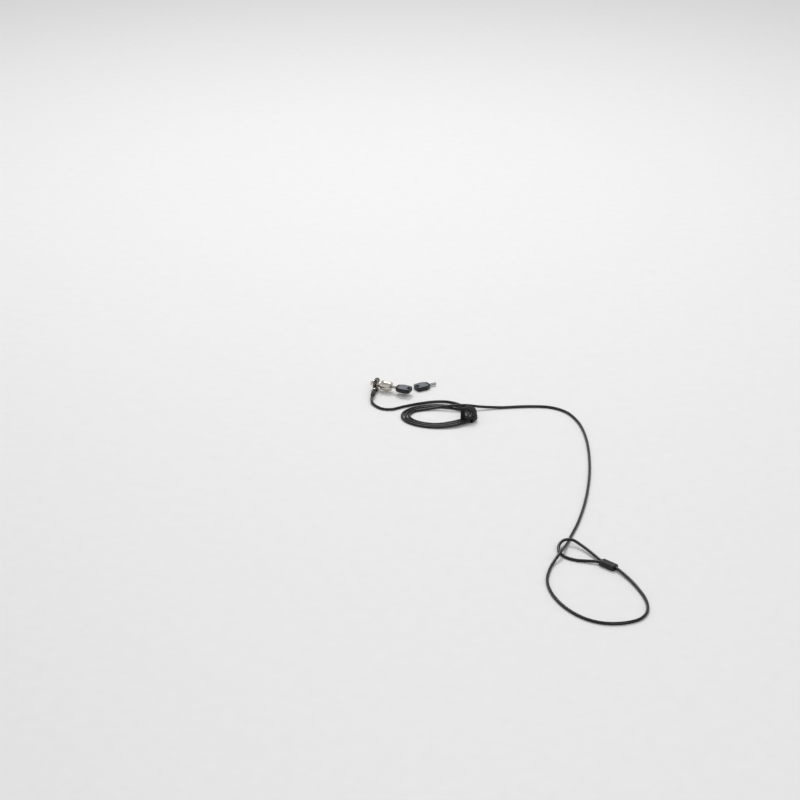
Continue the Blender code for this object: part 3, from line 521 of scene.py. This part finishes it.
def plate(name, outline, low, high, upright="Z"):
    """An outline in millimetres, extruded from low to high along Z, or along X for (y, z) points."""
    if upright == "Z":
        points = [Vector((x, y, low)) * MM for x, y in outline]
        rise = Vector((0.0, 0.0, high - low)) * MM
    else:
        points = [Vector((low, y, z)) * MM for y, z in outline]
        rise = Vector((high - low, 0.0, 0.0)) * MM
    piece = draw_chain(name, points)
    bpy.ops.mesh.edge_face_add()
    bpy.ops.mesh.extrude_region_move(TRANSFORM_OT_translate={"value": rise})
    close_skin()
    return piece


def block(name, low, high):
    """A plain box between two corners, in millimetres."""
    outline = ((low[0], low[1]), (high[0], low[1]), (high[0], high[1]), (low[0], high[1]))
    return plate(name, outline, low[2], high[2])


def make_active(piece):
    bpy.ops.object.select_all(action="DESELECT")
    piece.select_set(True)
    bpy.context.view_layer.objects.active = piece


def combine(piece, other, operation):
    """Joins another piece on, or cuts it away, and removes it."""
    change = piece.modifiers.new("combine", "BOOLEAN")
    change.operation = operation
    change.solver = "EXACT"
    change.object = other
    make_active(piece)
    bpy.ops.object.modifier_apply(modifier=change.name)
    bpy.data.objects.remove(other)


def join(piece, other):
    combine(piece, other, "UNION")


def cut(piece, other):
    combine(piece, other, "DIFFERENCE")


def round_edges(piece, width, segments=3, angle=32.0):
    """Rounds the sharp edges by a width in millimetres."""
    bevel = piece.modifiers.new("round_edges", "BEVEL")
    bevel.width = width * MM
    bevel.segments = segments
    bevel.limit_method = "ANGLE"
    bevel.angle_limit = math.radians(angle)
    make_active(piece)
    bpy.ops.object.modifier_apply(modifier=bevel.name)


def arc(centre, radius, first, last, steps):
    """Points of a round stretch, at angles in degrees."""
    turn = math.radians(last - first)
    angles = [math.radians(first) + turn * step / steps for step in range(steps + 1)]
    return [(centre[0] + radius * math.cos(a), centre[1] + radius * math.sin(a)) for a in angles]


def rounded_box(width, height, radius, steps=6):
    """The outline of a rectangle about the origin with round corners."""
    across = width / 2 - radius
    up = height / 2 - radius
    points = []
    for x, y, first in ((across, up, 0), (-across, up, 90), (-across, -up, 180), (across, -up, 270)):
        points += arc((x, y), radius, first, first + 90, steps)
    return points


def round_corners(outline, radius, steps=6):
    """An outline with each corner replaced by an arc that touches both of its sides."""
    points = []
    for index, corner in enumerate(outline):
        here = Vector(corner)
        back = (Vector(outline[index - 1]) - here).normalized()
        ahead = (Vector(outline[(index + 1) % len(outline)]) - here).normalized()
        half_angle = back.angle(ahead) / 2
        middle = here + (back + ahead).normalized() * radius / math.sin(half_angle)
        first = here + back * radius / math.tan(half_angle) - middle
        last = here + ahead * radius / math.tan(half_angle) - middle
        for step in range(steps + 1):
            points.append(tuple(middle + radius * first.slerp(last, step / steps)))
    return points


def mirrored(half):
    """A closed outline from the points of its +Y half."""
    return half + [(x, -y) for x, y in reversed(half)]


SMOOTH_BELOW = math.radians(35.0)


def set_down(piece, place, body, slot, *finishes, stands_for=()):
    """Moves a piece to its place, smooths it, and gives it its finish and its body."""
    make_active(piece)
    piece.matrix_world = place
    bpy.ops.object.transform_apply(location=True, rotation=True, scale=True)
    bpy.ops.object.shade_smooth_by_angle(angle=SMOOTH_BELOW)
    piece.data.materials.clear()
    for finish in finishes:
        piece.data.materials.append(finish)
    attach(piece, body)
    if stands_for:
        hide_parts(*stands_for)
    print(piece.name, len(piece.data.polygons), "faces")


AT_LOCK = Matrix.Translation(SEAT)
AT_PIN = Matrix.Translation(PIN) @ Matrix.Rotation(math.radians(90.0), 4, "Y")
AT_CABLE_END = Matrix.Translation(PIN) @ Matrix.Rotation(CABLE_END_TURN, 4, "Z")
AT_LOOP_END = Matrix.Translation(SLEEVE) @ Matrix.Rotation(SLEEVE_TURN, 4, "Z")
print("shaping helpers ready")

# %% [markdown]
# ## Plated metal
# The lock's body is die-cast and nickel plated: a warm, bright mirror with faint polishing lines round
# it. The face is satin, with finer and duller lines. The swivel collar's rim and the cable's crimped
# end are black nickel. One function makes all of them, because they differ only in colour, gloss and
# the way the lines run.


# %% Plated metal finishes
def plated(name, dark, bright, gloss, lines, turn=0.0):
    """A metal whose polishing lines are fine along the axes with a large stretch in lines."""
    metal, tree, shader = start_material(name, Metallic=1.0)
    polish = noise(tree, stretched(tree, lines, turn), 1.0, 4.0, 0.6)
    handled = noise(tree, stretched(tree, (1.0, 1.0, 1.0)), 420.0, 4.0)
    tone = blended(tree, polish, handled, 0.5)
    tree.links.new(colours(tree, tone, (0.3, dark), (0.65, bright)), shader.inputs["Base Color"])
    tree.links.new(spread(tree, tone, gloss[0], gloss[1], 0.3, 0.7), shader.inputs["Roughness"])
    raise_bump(tree, shader, polish, 0.004 * MM)
    return metal


ROUND_LINES = (9000.0, 260.0, 260.0)
LONG_LINES = (300.0, 7000.0, 7000.0)
SATIN_LINES = (4000.0, 2500.0, 2500.0)
DISC_LINES = (5000.0, 900.0, 900.0)
PRESSED_LINES = (900.0, 900.0, 900.0)
BRIGHT_GLOSS = (0.08, 0.20)
BLACK_GLOSS = (0.12, 0.26)
PRESSED_GLOSS = (0.34, 0.55)
bright_nickel = plated("bright_nickel", (0.50, 0.46, 0.40), (0.80, 0.76, 0.69), BRIGHT_GLOSS, ROUND_LINES)
satin_nickel = plated("satin_nickel", (0.52, 0.50, 0.47), (0.68, 0.66, 0.62), (0.26, 0.42), SATIN_LINES)
BLACK_SHADES = ((0.05, 0.05, 0.052), (0.115, 0.113, 0.112))
black_nickel = plated("black_nickel", *BLACK_SHADES, BLACK_GLOSS, ROUND_LINES)
brass = plated("disc_brass", (0.46, 0.33, 0.13), (0.62, 0.47, 0.22), (0.25, 0.42), DISC_LINES)
PRESSED_SHADES = ((0.42, 0.42, 0.43), (0.60, 0.60, 0.61))
pressed_alloy = plated("pressed_alloy", *PRESSED_SHADES, PRESSED_GLOSS, PRESSED_LINES)
print("metal finishes:", bright_nickel.name, satin_nickel.name, black_nickel.name)

# %% [markdown]
# ## Moulded plastics
# The key bows and the sleeves are black mouldings with the fine matt grain of a spark-worn mould. The
# bows carry blue-grey grip panels, a little softer and lighter. A cell pattern of about 0.3 mm gives
# the grain.


# %% Moulded finishes
def moulded(name, dark, light, gloss, grain_size):
    """A moulding with a fine cell grain and faint handling marks."""
    plastic, tree, shader = start_material(name, IOR=1.5, Specular_IOR_Level=0.4)
    where = stretched(tree, (1.0, 1.0, 1.0))
    cells = add_node(tree, "ShaderNodeTexVoronoi", Scale=1.0 / (grain_size * MM), Randomness=1.0)
    tree.links.new(where, cells.inputs["Vector"])
    handled = noise(tree, where, 300.0, 5.0)
    tree.links.new(colours(tree, handled, (0.3, dark), (0.7, light)), shader.inputs["Base Color"])
    tree.links.new(spread(tree, handled, gloss[0], gloss[1], 0.3, 0.7), shader.inputs["Roughness"])
    raise_bump(tree, shader, cells.outputs["Distance"], 0.012 * MM, 0.6)
    return plastic


bow_black = moulded("bow_black", (0.004, 0.004, 0.005), (0.010, 0.010, 0.011), (0.26, 0.38), 0.26)
grip_grey = moulded("grip_grey", (0.105, 0.117, 0.142), (0.155, 0.169, 0.198), (0.34, 0.50), 0.32)
sleeve_black = moulded("sleeve_black", (0.007, 0.007, 0.007), (0.014, 0.014, 0.015), (0.42, 0.60), 0.30)
print("moulded finishes:", bow_black.name, grip_grey.name, sleeve_black.name)

# %% [markdown]
# ## Nose and neck
# The nose seats on the laptop's wall, and its two small lugs stop the lock from turning in the slot. It
# is one turned piece with the neck that the collar swivels on. The section is spun, the lugs are joined
# as blocks, and all edges get a small round.

# %% Nose and neck
nose = turned(
    "nose_and_neck",
    [
        (0.0, 1.55),
        (0.0, 6.0),
        (1.8, 6.0),
        (1.8, 3.3),
        (5.4, 3.3),
        (5.4, 2.6),
        (6.8, 2.6),
        (6.8, 3.3),
        (10.7, 3.3),
        (10.7, 2.7),
        (12.2, 2.7),
        (12.2, 1.55),
    ],
)
for side in (-1, 1):
    edges = sorted((1.9 * side, 3.35 * side))
    join(nose, block("slot_lug", (-1.8, edges[0], -1.2), (0.9, edges[1], 1.2)))
round_edges(nose, 0.22)
set_down(nose, AT_LOCK, "lock_head", "bright_nickel", bright_nickel, stands_for=["nose_flange"])

# %% [markdown]
# ## T-bar
# The T-bar goes through the slot and turns across it. Its spindle is round, its head is a flat bar with
# rounded ends, and two ears at its base engage the rotor.

# %% T-bar
t_bar = turned(
    "turning_t_bar",
    [(-3.3, 0.0), (-3.3, 1.25), (12.5, 1.25), (12.5, 3.2), (13.9, 3.2), (13.9, 0.0)],
)
join(t_bar, plate("t_head", rounded_box(2.5, 6.4, 0.9), -4.4, -2.2, "X"))
join(t_bar, block("t_ears", (12.8, -4.1, -0.8), (13.6, 4.1, 0.8)))
round_edges(t_bar, 0.2)
set_down(t_bar, AT_LOCK, "turning_core", "satin_nickel", satin_nickel, stands_for=["t_bar"])

# %% [markdown]
# ## Swivel collar
# The ring turns on the neck, so the cable can lead off to any side. Its dark rim is fat and round, with
# a thinner bright web inside, and a forked lug takes the cable's eye. The ring is spun, the lug is
# joined as a plate, and the fork and the pin hole are cut. A pin with two domed heads goes through it.

# %% Swivel collar
collar = turned(
    "swivel_ring",
    [
        (2.1, 3.6),
        (2.1, 4.8),
        (2.95, 4.8),
        (2.95, 6.2),
        (2.1, 6.2),
        (2.1, 7.6),
        (2.4, 8.2),
        (3.0, 8.5),
        (4.5, 8.5),
        (5.1, 8.2),
        (5.4, 7.6),
        (5.4, 6.2),
        (4.55, 6.2),
        (4.55, 4.8),
        (5.4, 4.8),
        (5.4, 3.6),
    ],
)
LUG_ROOT = -6.41
LUG_R = 2.5
EYE_HOLE_R = 1.4
PIN_SPOT = (6.4, -12.2)
lug_outline = arc(PIN_SPOT, LUG_R, 180, 360, 24)
lug_outline += [(PIN_SPOT[0] + LUG_R, LUG_ROOT), (PIN_SPOT[0] - LUG_R, LUG_ROOT)]
join(collar, plate("lug", lug_outline, -6.4, -0.8))
cut(collar, block("fork", (1.4, -17.2, -4.9), (11.4, -9.5, -2.3)))
cut(collar, plate("pin_hole", arc(PIN_SPOT, EYE_HOLE_R, 0, 345, 23), -9.0, 2.0))
round_edges(collar, 0.25, 2)
RIM_START = 6.15 * MM
in_web = [Vector(face.center[1:]).length < RIM_START for face in collar.data.polygons]
collar_finishes = (black_nickel, bright_nickel)
set_down(collar, AT_LOCK, "collar", "dark_nickel", *collar_finishes, stands_for=["swivel_collar"])
for face, bright in zip(collar.data.polygons, in_web):
    face.material_index = 1 if bright else 0

pin = turned(
    "riveted_pin",
    [
        (-3.7, 0.0),
        (-3.66, 0.8),
        (-3.5, 1.45),
        (-3.25, 1.82),
        (-3.1, 1.9),
        (-3.1, 1.1),
        (3.1, 1.1),
        (3.1, 1.9),
        (3.25, 1.82),
        (3.5, 1.45),
        (3.66, 0.8),
        (3.7, 0.0),
    ],
    48,
)
set_down(pin, AT_PIN, "collar", "bright_nickel", bright_nickel, stands_for=["link_pin"])

# %% [markdown]
# ## Retaining clip
# A spring clip in a groove of the neck keeps the collar from sliding off. It is a flat ring with a
# mouth, so a small section is spun and the mouth is cut from it.

# %% Retaining clip
clip = turned("spring_clip", [(5.7, 2.9), (5.7, 5.0), (6.5, 5.0), (6.5, 2.9)], 72)
cut(clip, block("mouth", (4.7, -1.8, 0.0), (7.5, 1.8, 10.0)))
round_edges(clip, 0.15, 2)
set_down(clip, AT_LOCK, "lock_head", "bright_nickel", bright_nickel, stands_for=["collar_clip"])

# %% [markdown]
# ## Lock body and face
# The body is a short bright barrel with a rounded front shoulder and a fine groove near its back rim,
# where the face ring is pressed in. The face ring sits round the turning plug.

# %% Lock body and face
body = turned(
    "lock_barrel",
    [
        (11.0, 3.0),
        (11.0, 5.3),
        (11.12, 5.75),
        (11.45, 6.12),
        (11.9, 6.3),
        (22.2, 6.3),
        (22.3, 6.0),
        (22.7, 6.0),
        (22.8, 6.3),
        (24.3, 6.3),
        (24.7, 5.9),
        (24.7, 5.6),
        (22.8, 5.6),
        (22.8, 4.9),
        (12.2, 4.9),
        (12.2, 3.0),
    ],
    128,
)
round_edges(body, 0.1, 2)
set_down(body, AT_LOCK, "lock_head", "bright_nickel", bright_nickel, stands_for=["lock_body"])

face = turned(
    "face_ring",
    [(23.1, 3.5), (23.1, 5.3), (24.5, 5.3), (24.7, 5.1), (24.7, 3.9), (24.5, 3.5)],
)
round_edges(face, 0.08, 2)
set_down(face, AT_LOCK, "lock_head", "satin_nickel", satin_nickel, stands_for=["face_plate"])

# %% [markdown]
# ## Inner pieces
# The rotor, its discs, the sidebar and the far end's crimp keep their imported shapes, which are flat or
# hidden. They only get their metal finishes.

# %% Inner pieces
INNER_FINISHES = {
    "rotor": satin_nickel,
    "disc_1": brass,
    "disc_2": brass,
    "disc_3": brass,
    "disc_4": brass,
    "sidebar": brass,
    "loop_crimp": pressed_alloy,
}
for node_name, finish in INNER_FINISHES.items():
    kept = nodes[node_name]
    kept.data.materials.clear()
    kept.data.materials.append(finish)
print("finished", len(INNER_FINISHES), "packed pieces")

# %% [markdown]
# ## Cable end
# A crimped barrel ends the cable at the lock, with a flat eye on the collar's pin. Two pressed rings on
# the barrel show where the crimping tool closed it. A short black sleeve behind it eases the bend.

# %% Cable end
terminal = turned(
    "crimped_terminal",
    [
        (4.3, 0.0),
        (4.3, 2.4),
        (4.9, 3.0),
        (6.3, 3.0),
        (6.6, 2.65),
        (7.4, 2.65),
        (7.7, 3.0),
        (8.9, 3.0),
        (9.2, 2.65),
        (10.0, 2.65),
        (10.3, 3.0),
        (11.7, 3.0),
        (12.3, 2.4),
        (12.3, 0.0),
    ],
    64,
)
EYE_R = 2.4
eye_outline = arc((0.0, 0.0), EYE_R, 90, 270, 24) + [(5.8, -EYE_R), (5.8, EYE_R)]
join(terminal, plate("eye_tab", eye_outline, -1.0, 1.0))
cut(terminal, plate("eye_hole", arc((0.0, 0.0), EYE_HOLE_R, 0, 345, 23), -3.0, 3.0))
round_edges(terminal, 0.18, 2)
set_down(terminal, AT_CABLE_END, "cable", "bright_nickel", black_nickel, stands_for=["cable_terminal"])

lead_sleeve = turned(
    "lead_bend_sleeve",
    [
        (12.6, 1.7),
        (12.6, 2.8),
        (13.4, 2.76),
        (13.6, 2.5),
        (14.0, 2.5),
        (14.2, 2.7),
        (15.0, 2.62),
        (15.2, 2.4),
        (15.6, 2.4),
        (15.8, 2.55),
        (17.2, 2.4),
        (17.6, 2.2),
        (17.6, 1.7),
    ],
    64,
)
round_edges(lead_sleeve, 0.1, 2)
set_down(lead_sleeve, AT_CABLE_END, "cable", "black_moulding", sleeve_black, stands_for=["lead_sleeve"])

# %% [markdown]
# ## Far end sleeve
# At the far end the cable is folded back on itself and crimped, and a black sleeve is moulded over the
# crimp. It is a rounded bar that narrows a little at both mouths, with five shallow grooves for grip.

# %% Far end sleeve
SLEEVE_W = 10.6
SLEEVE_H = 6.7


def sleeve_band(start, end, depth):
    """A band round the sleeve, from start to end along it, that leaves a core a depth below its skin."""
    band = plate("sleeve_band", rounded_box(20.0, 16.0, 4.0), start, end, "X")
    wide = SLEEVE_W - 2 * depth
    high = SLEEVE_H - 2 * depth
    cut(band, plate("sleeve_core", rounded_box(wide, high, high / 2 - 0.2, 10), -20.0, 20.0, "X"))
    return band


sleeve_section = rounded_box(SLEEVE_W, SLEEVE_H, SLEEVE_H / 2 - 0.3, 10)
loop_sleeve = plate("moulded_loop_sleeve", sleeve_section, -10.0, 10.0, "X")
cut(loop_sleeve, sleeve_band(-12.0, -8.9, 0.6))
cut(loop_sleeve, sleeve_band(8.9, 12.0, 0.6))
for groove in (-4.8, -2.4, 0.0, 2.4, 4.8):
    cut(loop_sleeve, sleeve_band(groove - 0.4, groove + 0.4, 0.3))
round_edges(loop_sleeve, 0.35, 3)
set_down(loop_sleeve, AT_LOOP_END, "cable", "black_moulding", sleeve_black, stands_for=["loop_sleeve"])

# %% [markdown]
# ## Keys
# Each key is a short flat blade, cut for the discs, in a moulded bow. The bow widens from its neck to a
# shoulder and has a slot for a key ring near its free end. A blue-grey grip panel fills most of each
# face. The blade and the bow are outlines extruded flat, with the recesses cut. The key in the lock and
# the spare are modelled once and copied.

# %% Keys
BLADE_L = 11.0
BOW_L = 20.5
BOW_T = 6.0
KEY_CUT_PITCH = 1.85
BOW_SHOULDER = 6.5
BOW_NECK_W = 8.6
BOW_W = 15.2
BOW_END_W = 14.6
BOW_CORNER = 3.6
RING_SLOT_X = BOW_L - 3.4
PANEL_MARGIN = 1.1
PANEL_START = 3.2
PANEL_END = BOW_L - PANEL_MARGIN
PANEL_CORNER = 2.4
PANEL_GAP = 0.15
PANEL_DEPTH = 0.5
BLADE_HALF = 2.0
BLADE_TIP = 1.2
NOTCH_HALF = 1.5


def bow_half(along, margin=0.0):
    """Half the bow's width, less a margin."""
    if along < BOW_SHOULDER:
        return (BOW_NECK_W + (BOW_W - BOW_NECK_W) * along / BOW_SHOULDER) / 2 - margin
    share = (along - BOW_SHOULDER) / (BOW_L - BOW_SHOULDER)
    return (BOW_W + (BOW_END_W - BOW_W) * share) / 2 - margin


def split_faces(piece):
    """Cuts the large flat faces into triangles, so a face with a hole in it stays open there."""
    triangles = piece.modifiers.new("triangles", "TRIANGULATE")
    make_active(piece)
    bpy.ops.object.modifier_apply(modifier=triangles.name)


blade_edge = [(8.0, BLADE_HALF)]
for index in (3, 2, 1, 0):
    middle = -BLADE_L + BLADE_TIP + (index + 1) * KEY_CUT_PITCH
    blade_edge += [(middle + 0.45, BLADE_HALF), (middle + 0.22, NOTCH_HALF)]
    blade_edge += [(middle - 0.22, NOTCH_HALF), (middle - 0.45, BLADE_HALF)]
blade_edge += [(-BLADE_L + BLADE_TIP, BLADE_HALF), (-BLADE_L, 0.8)]
blade = plate("key_blade_cut", mirrored(blade_edge), -0.9, 0.9)
for low, high in ((0.55, 1.5), (-1.5, -0.55)):
    cut(blade, block("milled_groove", (-BLADE_L - 1.0, -0.45, low), (-1.0, 0.45, high)))
round_edges(blade, 0.12, 2)

bow_outline = mirrored([(x, bow_half(x)) for x in (0.0, BOW_SHOULDER, BOW_L)])
bow = plate("key_bow_moulded", round_corners(bow_outline, BOW_CORNER), -BOW_T / 2, BOW_T / 2)
round_edges(bow, 0.9, 4, 60.0)
ring_slot = [(RING_SLOT_X + x, y) for x, y in rounded_box(3.0, 6.0, 1.4)]
cut(bow, plate("ring_slot", ring_slot, -BOW_T, BOW_T))
panel_half = [(x, bow_half(x, PANEL_MARGIN)) for x in (PANEL_START, BOW_SHOULDER, PANEL_END)]
panel_outline = round_corners(mirrored(panel_half), PANEL_CORNER)
cut(bow, plate("panel_sink", panel_outline, BOW_T / 2 - PANEL_DEPTH, BOW_T))
cut(bow, plate("panel_sink", panel_outline, -BOW_T, PANEL_DEPTH - BOW_T / 2))
split_faces(bow)

grip_ends = (PANEL_START + PANEL_GAP, BOW_SHOULDER, PANEL_END - PANEL_GAP)
grip_half = [(x, bow_half(x, PANEL_MARGIN + PANEL_GAP)) for x in grip_ends]
grip_outline = round_corners(mirrored(grip_half), PANEL_CORNER - PANEL_GAP)
grip = plate("key_grip_upper", grip_outline, BOW_T / 2 - 0.52, BOW_T / 2 - 0.1)
grip_slot = [(RING_SLOT_X + x, y) for x, y in rounded_box(3.5, 6.5, 1.65)]
cut(grip, plate("grip_slot", grip_slot, 0.0, BOW_T))
round_edges(grip, 0.2, 3, 50.0)
split_faces(grip)
print("key of", round(BOW_L + BLADE_L, 1), "mm")


def copy_of(piece, name):
    """A copy with its own mesh."""
    twin = piece.copy()
    twin.data = piece.data.copy()
    twin.name = name
    twin.data.name = name
    scene.collection.objects.link(twin)
    return twin


KEY_FROM_SEAT = 32.4 * MM
AT_KEY = AT_LOCK @ Matrix.Translation((KEY_FROM_SEAT, 0.0, 0.0))
SPARE_TURN = math.radians(54.0 + 180.0)
SPARE_MIDDLE = Vector((24.1, 12.44, BOW_T / 2)) * MM
AT_SPARE = Matrix.Translation(SPARE_MIDDLE) @ Matrix.Rotation(SPARE_TURN, 4, "Z")
AT_SPARE = AT_SPARE @ Matrix.Translation((-BOW_L / 2 * MM, 0.0, 0.0))
UPSIDE_DOWN = Matrix.Rotation(math.radians(180.0), 4, "X")
# The blades' nickel is painted much darker than bare nickel. This is a painted dark reflection, so the
# shank reads dark.
SHADED_BLADE_FINISH = ((0.22, 0.21, 0.195), (0.40, 0.385, 0.36), (0.20, 0.36), LONG_LINES)
blade_shaded_nickel = plated("blade_shaded_nickel", *SHADED_BLADE_FINISH)
spare_shaded_nickel = plated("spare_blade_shaded_nickel", *SHADED_BLADE_FINISH, SPARE_TURN)

spare_blade = copy_of(blade, "spare_blade_cut")
spare_bow = copy_of(bow, "spare_bow_moulded")
grips = [(grip, AT_KEY, "key_in_lock")]
grips.append((copy_of(grip, "key_grip_lower"), AT_KEY @ UPSIDE_DOWN, "key_in_lock"))
grips.append((copy_of(grip, "spare_grip_upper"), AT_SPARE, "spare_key"))
grips.append((copy_of(grip, "spare_grip_lower"), AT_SPARE @ UPSIDE_DOWN, "spare_key"))
set_down(blade, AT_KEY, "key_in_lock", "satin_nickel", blade_shaded_nickel, stands_for=["key_blade"])
set_down(bow, AT_KEY, "key_in_lock", "bow_plastic", bow_black, stands_for=["key_bow"])
set_down(
    spare_blade, AT_SPARE, "spare_key", "satin_nickel", spare_shaded_nickel, stands_for=["spare_key_blade"]
)
set_down(spare_bow, AT_SPARE, "spare_key", "bow_plastic", bow_black, stands_for=["spare_key_bow"])
for panel, place, key_body in grips:
    set_down(panel, place, key_body, "bow_plastic", grip_grey)

# %% [markdown]
# ## Hook-and-loop strap
# A strip of black hook-and-loop tape holds the wraps. It lies flat under them, stands up loose above
# them in a round crown, and goes on outside its own start, so the tail ends on the outer side. Two
# loops are drawn, one for each layer, and the strip steps from the inner one to the outer one on its
# way over the crown. The chain of points is extruded to the tape's width and given its thickness by
# Solidify. Two attributes carry the distance along and across the tape, so the weave follows it round.

# %% Strap
STRAP_WIDTH = 11.0
TAPE_T = 0.8
STRAP_INNER_W = 15.3
STRAP_INNER_H = 16.05
STRAP_ROUND = 2.0
STRAP_CROWN = 6.5
STRAP_SHIFT = 0.95 * MM
TAIL_ROUND = 2.5
strap_way = wrap_point(STRAP_ANGLE + 360.5) - wrap_point(STRAP_ANGLE + 359.5)
strap_way.z = 0.0
strap_way.normalize()
strap_middle = wrap_point(STRAP_ANGLE + 360.0) + STRAP_SHIFT * Vector((strap_way.y, -strap_way.x, 0.0))
strap_middle.z = STRAP_BELOW + STRAP_INNER_H / 2 * MM
strap_turn = math.atan2(strap_way.y, strap_way.x)
AT_STRAP = Matrix.Translation(strap_middle) @ Matrix.Rotation(strap_turn, 4, "Z")
SIDE_STEPS = 24
CORNER_STEPS = 16


def tape_loop(out):
    """A closed loop of points, from the crown's inner end, a way out from the strap's inside."""
    wide = STRAP_INNER_W / 2
    high = STRAP_INNER_H / 2
    crown_x = wide - STRAP_CROWN
    crown_z = high - STRAP_CROWN
    low_x = wide - STRAP_ROUND
    low_z = STRAP_ROUND - high
    corners = arc((-low_x, low_z), STRAP_ROUND + out, 180, 270, CORNER_STEPS)
    corners += arc((low_x, low_z), STRAP_ROUND + out, 270, 360, CORNER_STEPS)
    corners += arc((crown_x, crown_z), STRAP_CROWN + out, 0, 90, CORNER_STEPS)
    corners += arc((-crown_x, crown_z), STRAP_CROWN + out, 90, 180, CORNER_STEPS)
    points = []
    for index, (first, second) in enumerate(zip(corners, corners[1:] + corners[:1])):
        steps = SIDE_STEPS if index % (CORNER_STEPS + 1) == CORNER_STEPS else 1
        start = Vector((0.0, *first))
        stop = Vector((0.0, *second))
        points += [start.lerp(stop, step / steps) for step in range(steps)]
    return points


inner_loop = tape_loop(TAPE_T / 2 + 0.04)
outer_loop = tape_loop(TAPE_T * 1.5 + 0.12)
loop_count = len(inner_loop)
STEP_OUT_START = 0.66
STEP_OUT_END = 0.82
TAIL_END = 1.47
TAPE_POINTS = 180
tape_path = []
for index in range(int(TAIL_END * loop_count)):
    layer = ease((index / loop_count - STEP_OUT_START) / (STEP_OUT_END - STEP_OUT_START))
    place = index % loop_count
    tape_path.append(inner_loop[place].lerp(outer_loop[place], layer))
tape_path = spaced(tape_path, TAPE_POINTS)
tape_step = path_length(tape_path) / (len(tape_path) - 1)
near_edge = Vector((-STRAP_WIDTH / 2, 0.0, 0.0))
strap = draw_chain("wrap_strap", [(point + near_edge) * MM for point in tape_path])
bpy.ops.mesh.extrude_region_move(TRANSFORM_OT_translate={"value": (STRAP_WIDTH * MM, 0.0, 0.0)})
bpy.ops.mesh.select_all(action="SELECT")
bpy.ops.mesh.normals_make_consistent(inside=False)
bpy.ops.object.mode_set(mode="OBJECT")
along_tape = strap.data.attributes.new("along_tape", "FLOAT", "POINT")
across_tape = strap.data.attributes.new("across_tape", "FLOAT", "POINT")
for vertex in strap.data.vertices:
    flat = Vector((0.0, vertex.co.y, vertex.co.z)) / MM
    nearest = min(range(len(tape_path)), key=lambda index: (tape_path[index] - flat).length)
    short_of_end = max(TAIL_ROUND - tape_step * (len(tape_path) - 1 - nearest), 0.0)
    trim = TAIL_ROUND - math.sqrt(max(TAIL_ROUND ** 2 - short_of_end ** 2, 0.0))
    vertex.co.x = math.copysign(STRAP_WIDTH / 2 - trim, vertex.co.x) * MM
    along_tape.data[vertex.index].value = nearest * tape_step * MM
    across_tape.data[vertex.index].value = vertex.co.x
thicken = strap.modifiers.new("tape_thickness", "SOLIDIFY")
thicken.thickness = TAPE_T * MM
thicken.offset = 0.0
make_active(strap)
bpy.ops.object.modifier_apply(modifier=thicken.name)
round_edges(strap, 0.25, 2, 60.0)

TAPE_SURFACE = {"Roughness": 0.95, "Sheen_Weight": 0.15, "Specular_IOR_Level": 0.2}
tape, tree, shader = start_material("strap_tape", **TAPE_SURFACE)
along_socket = add_node(tree, "ShaderNodeAttribute", attribute_name="along_tape").outputs["Fac"]
across_socket = add_node(tree, "ShaderNodeAttribute", attribute_name="across_tape").outputs["Fac"]
WEAVE = 0.9 * MM
SELVEDGE = 1.1 * MM
warp = math_node(tree, "SINE", math_node(tree, "MULTIPLY", across_socket, 2 * math.pi / WEAVE))
weft = math_node(tree, "SINE", math_node(tree, "MULTIPLY", along_socket, 2 * math.pi / WEAVE))
woven = spread(tree, math_node(tree, "MULTIPLY", warp, weft), 0.0, 1.0, -1.0, 1.0)
fuzz = noise(tree, stretched(tree, (1.0, 1.0, 1.0)), 2600.0, 4.0, 0.7)
from_middle = math_node(tree, "ABSOLUTE", across_socket)
tape_edge = STRAP_WIDTH / 2 * MM
pile = spread(tree, from_middle, 0.75, 0.15, tape_edge - SELVEDGE, tape_edge - 0.7 * SELVEDGE)
flat_weave = math_node(tree, "MULTIPLY", woven, math_node(tree, "SUBTRACT", 1.0, pile))
nap = math_node(tree, "ADD", flat_weave, math_node(tree, "MULTIPLY", fuzz, pile))
tree.links.new(colours(tree, nap, (0.25, 0.004), (0.75, 0.018)), shader.inputs["Base Color"])
raise_bump(tree, shader, nap, 0.18 * MM)
set_down(strap, AT_STRAP, "cable", "strap_fabric", tape, stands_for=["coil_strap"])

# %% [markdown]
# The view transform is set to Standard, so colours render at the level they are written.

scene.view_settings.view_transform = "Standard"
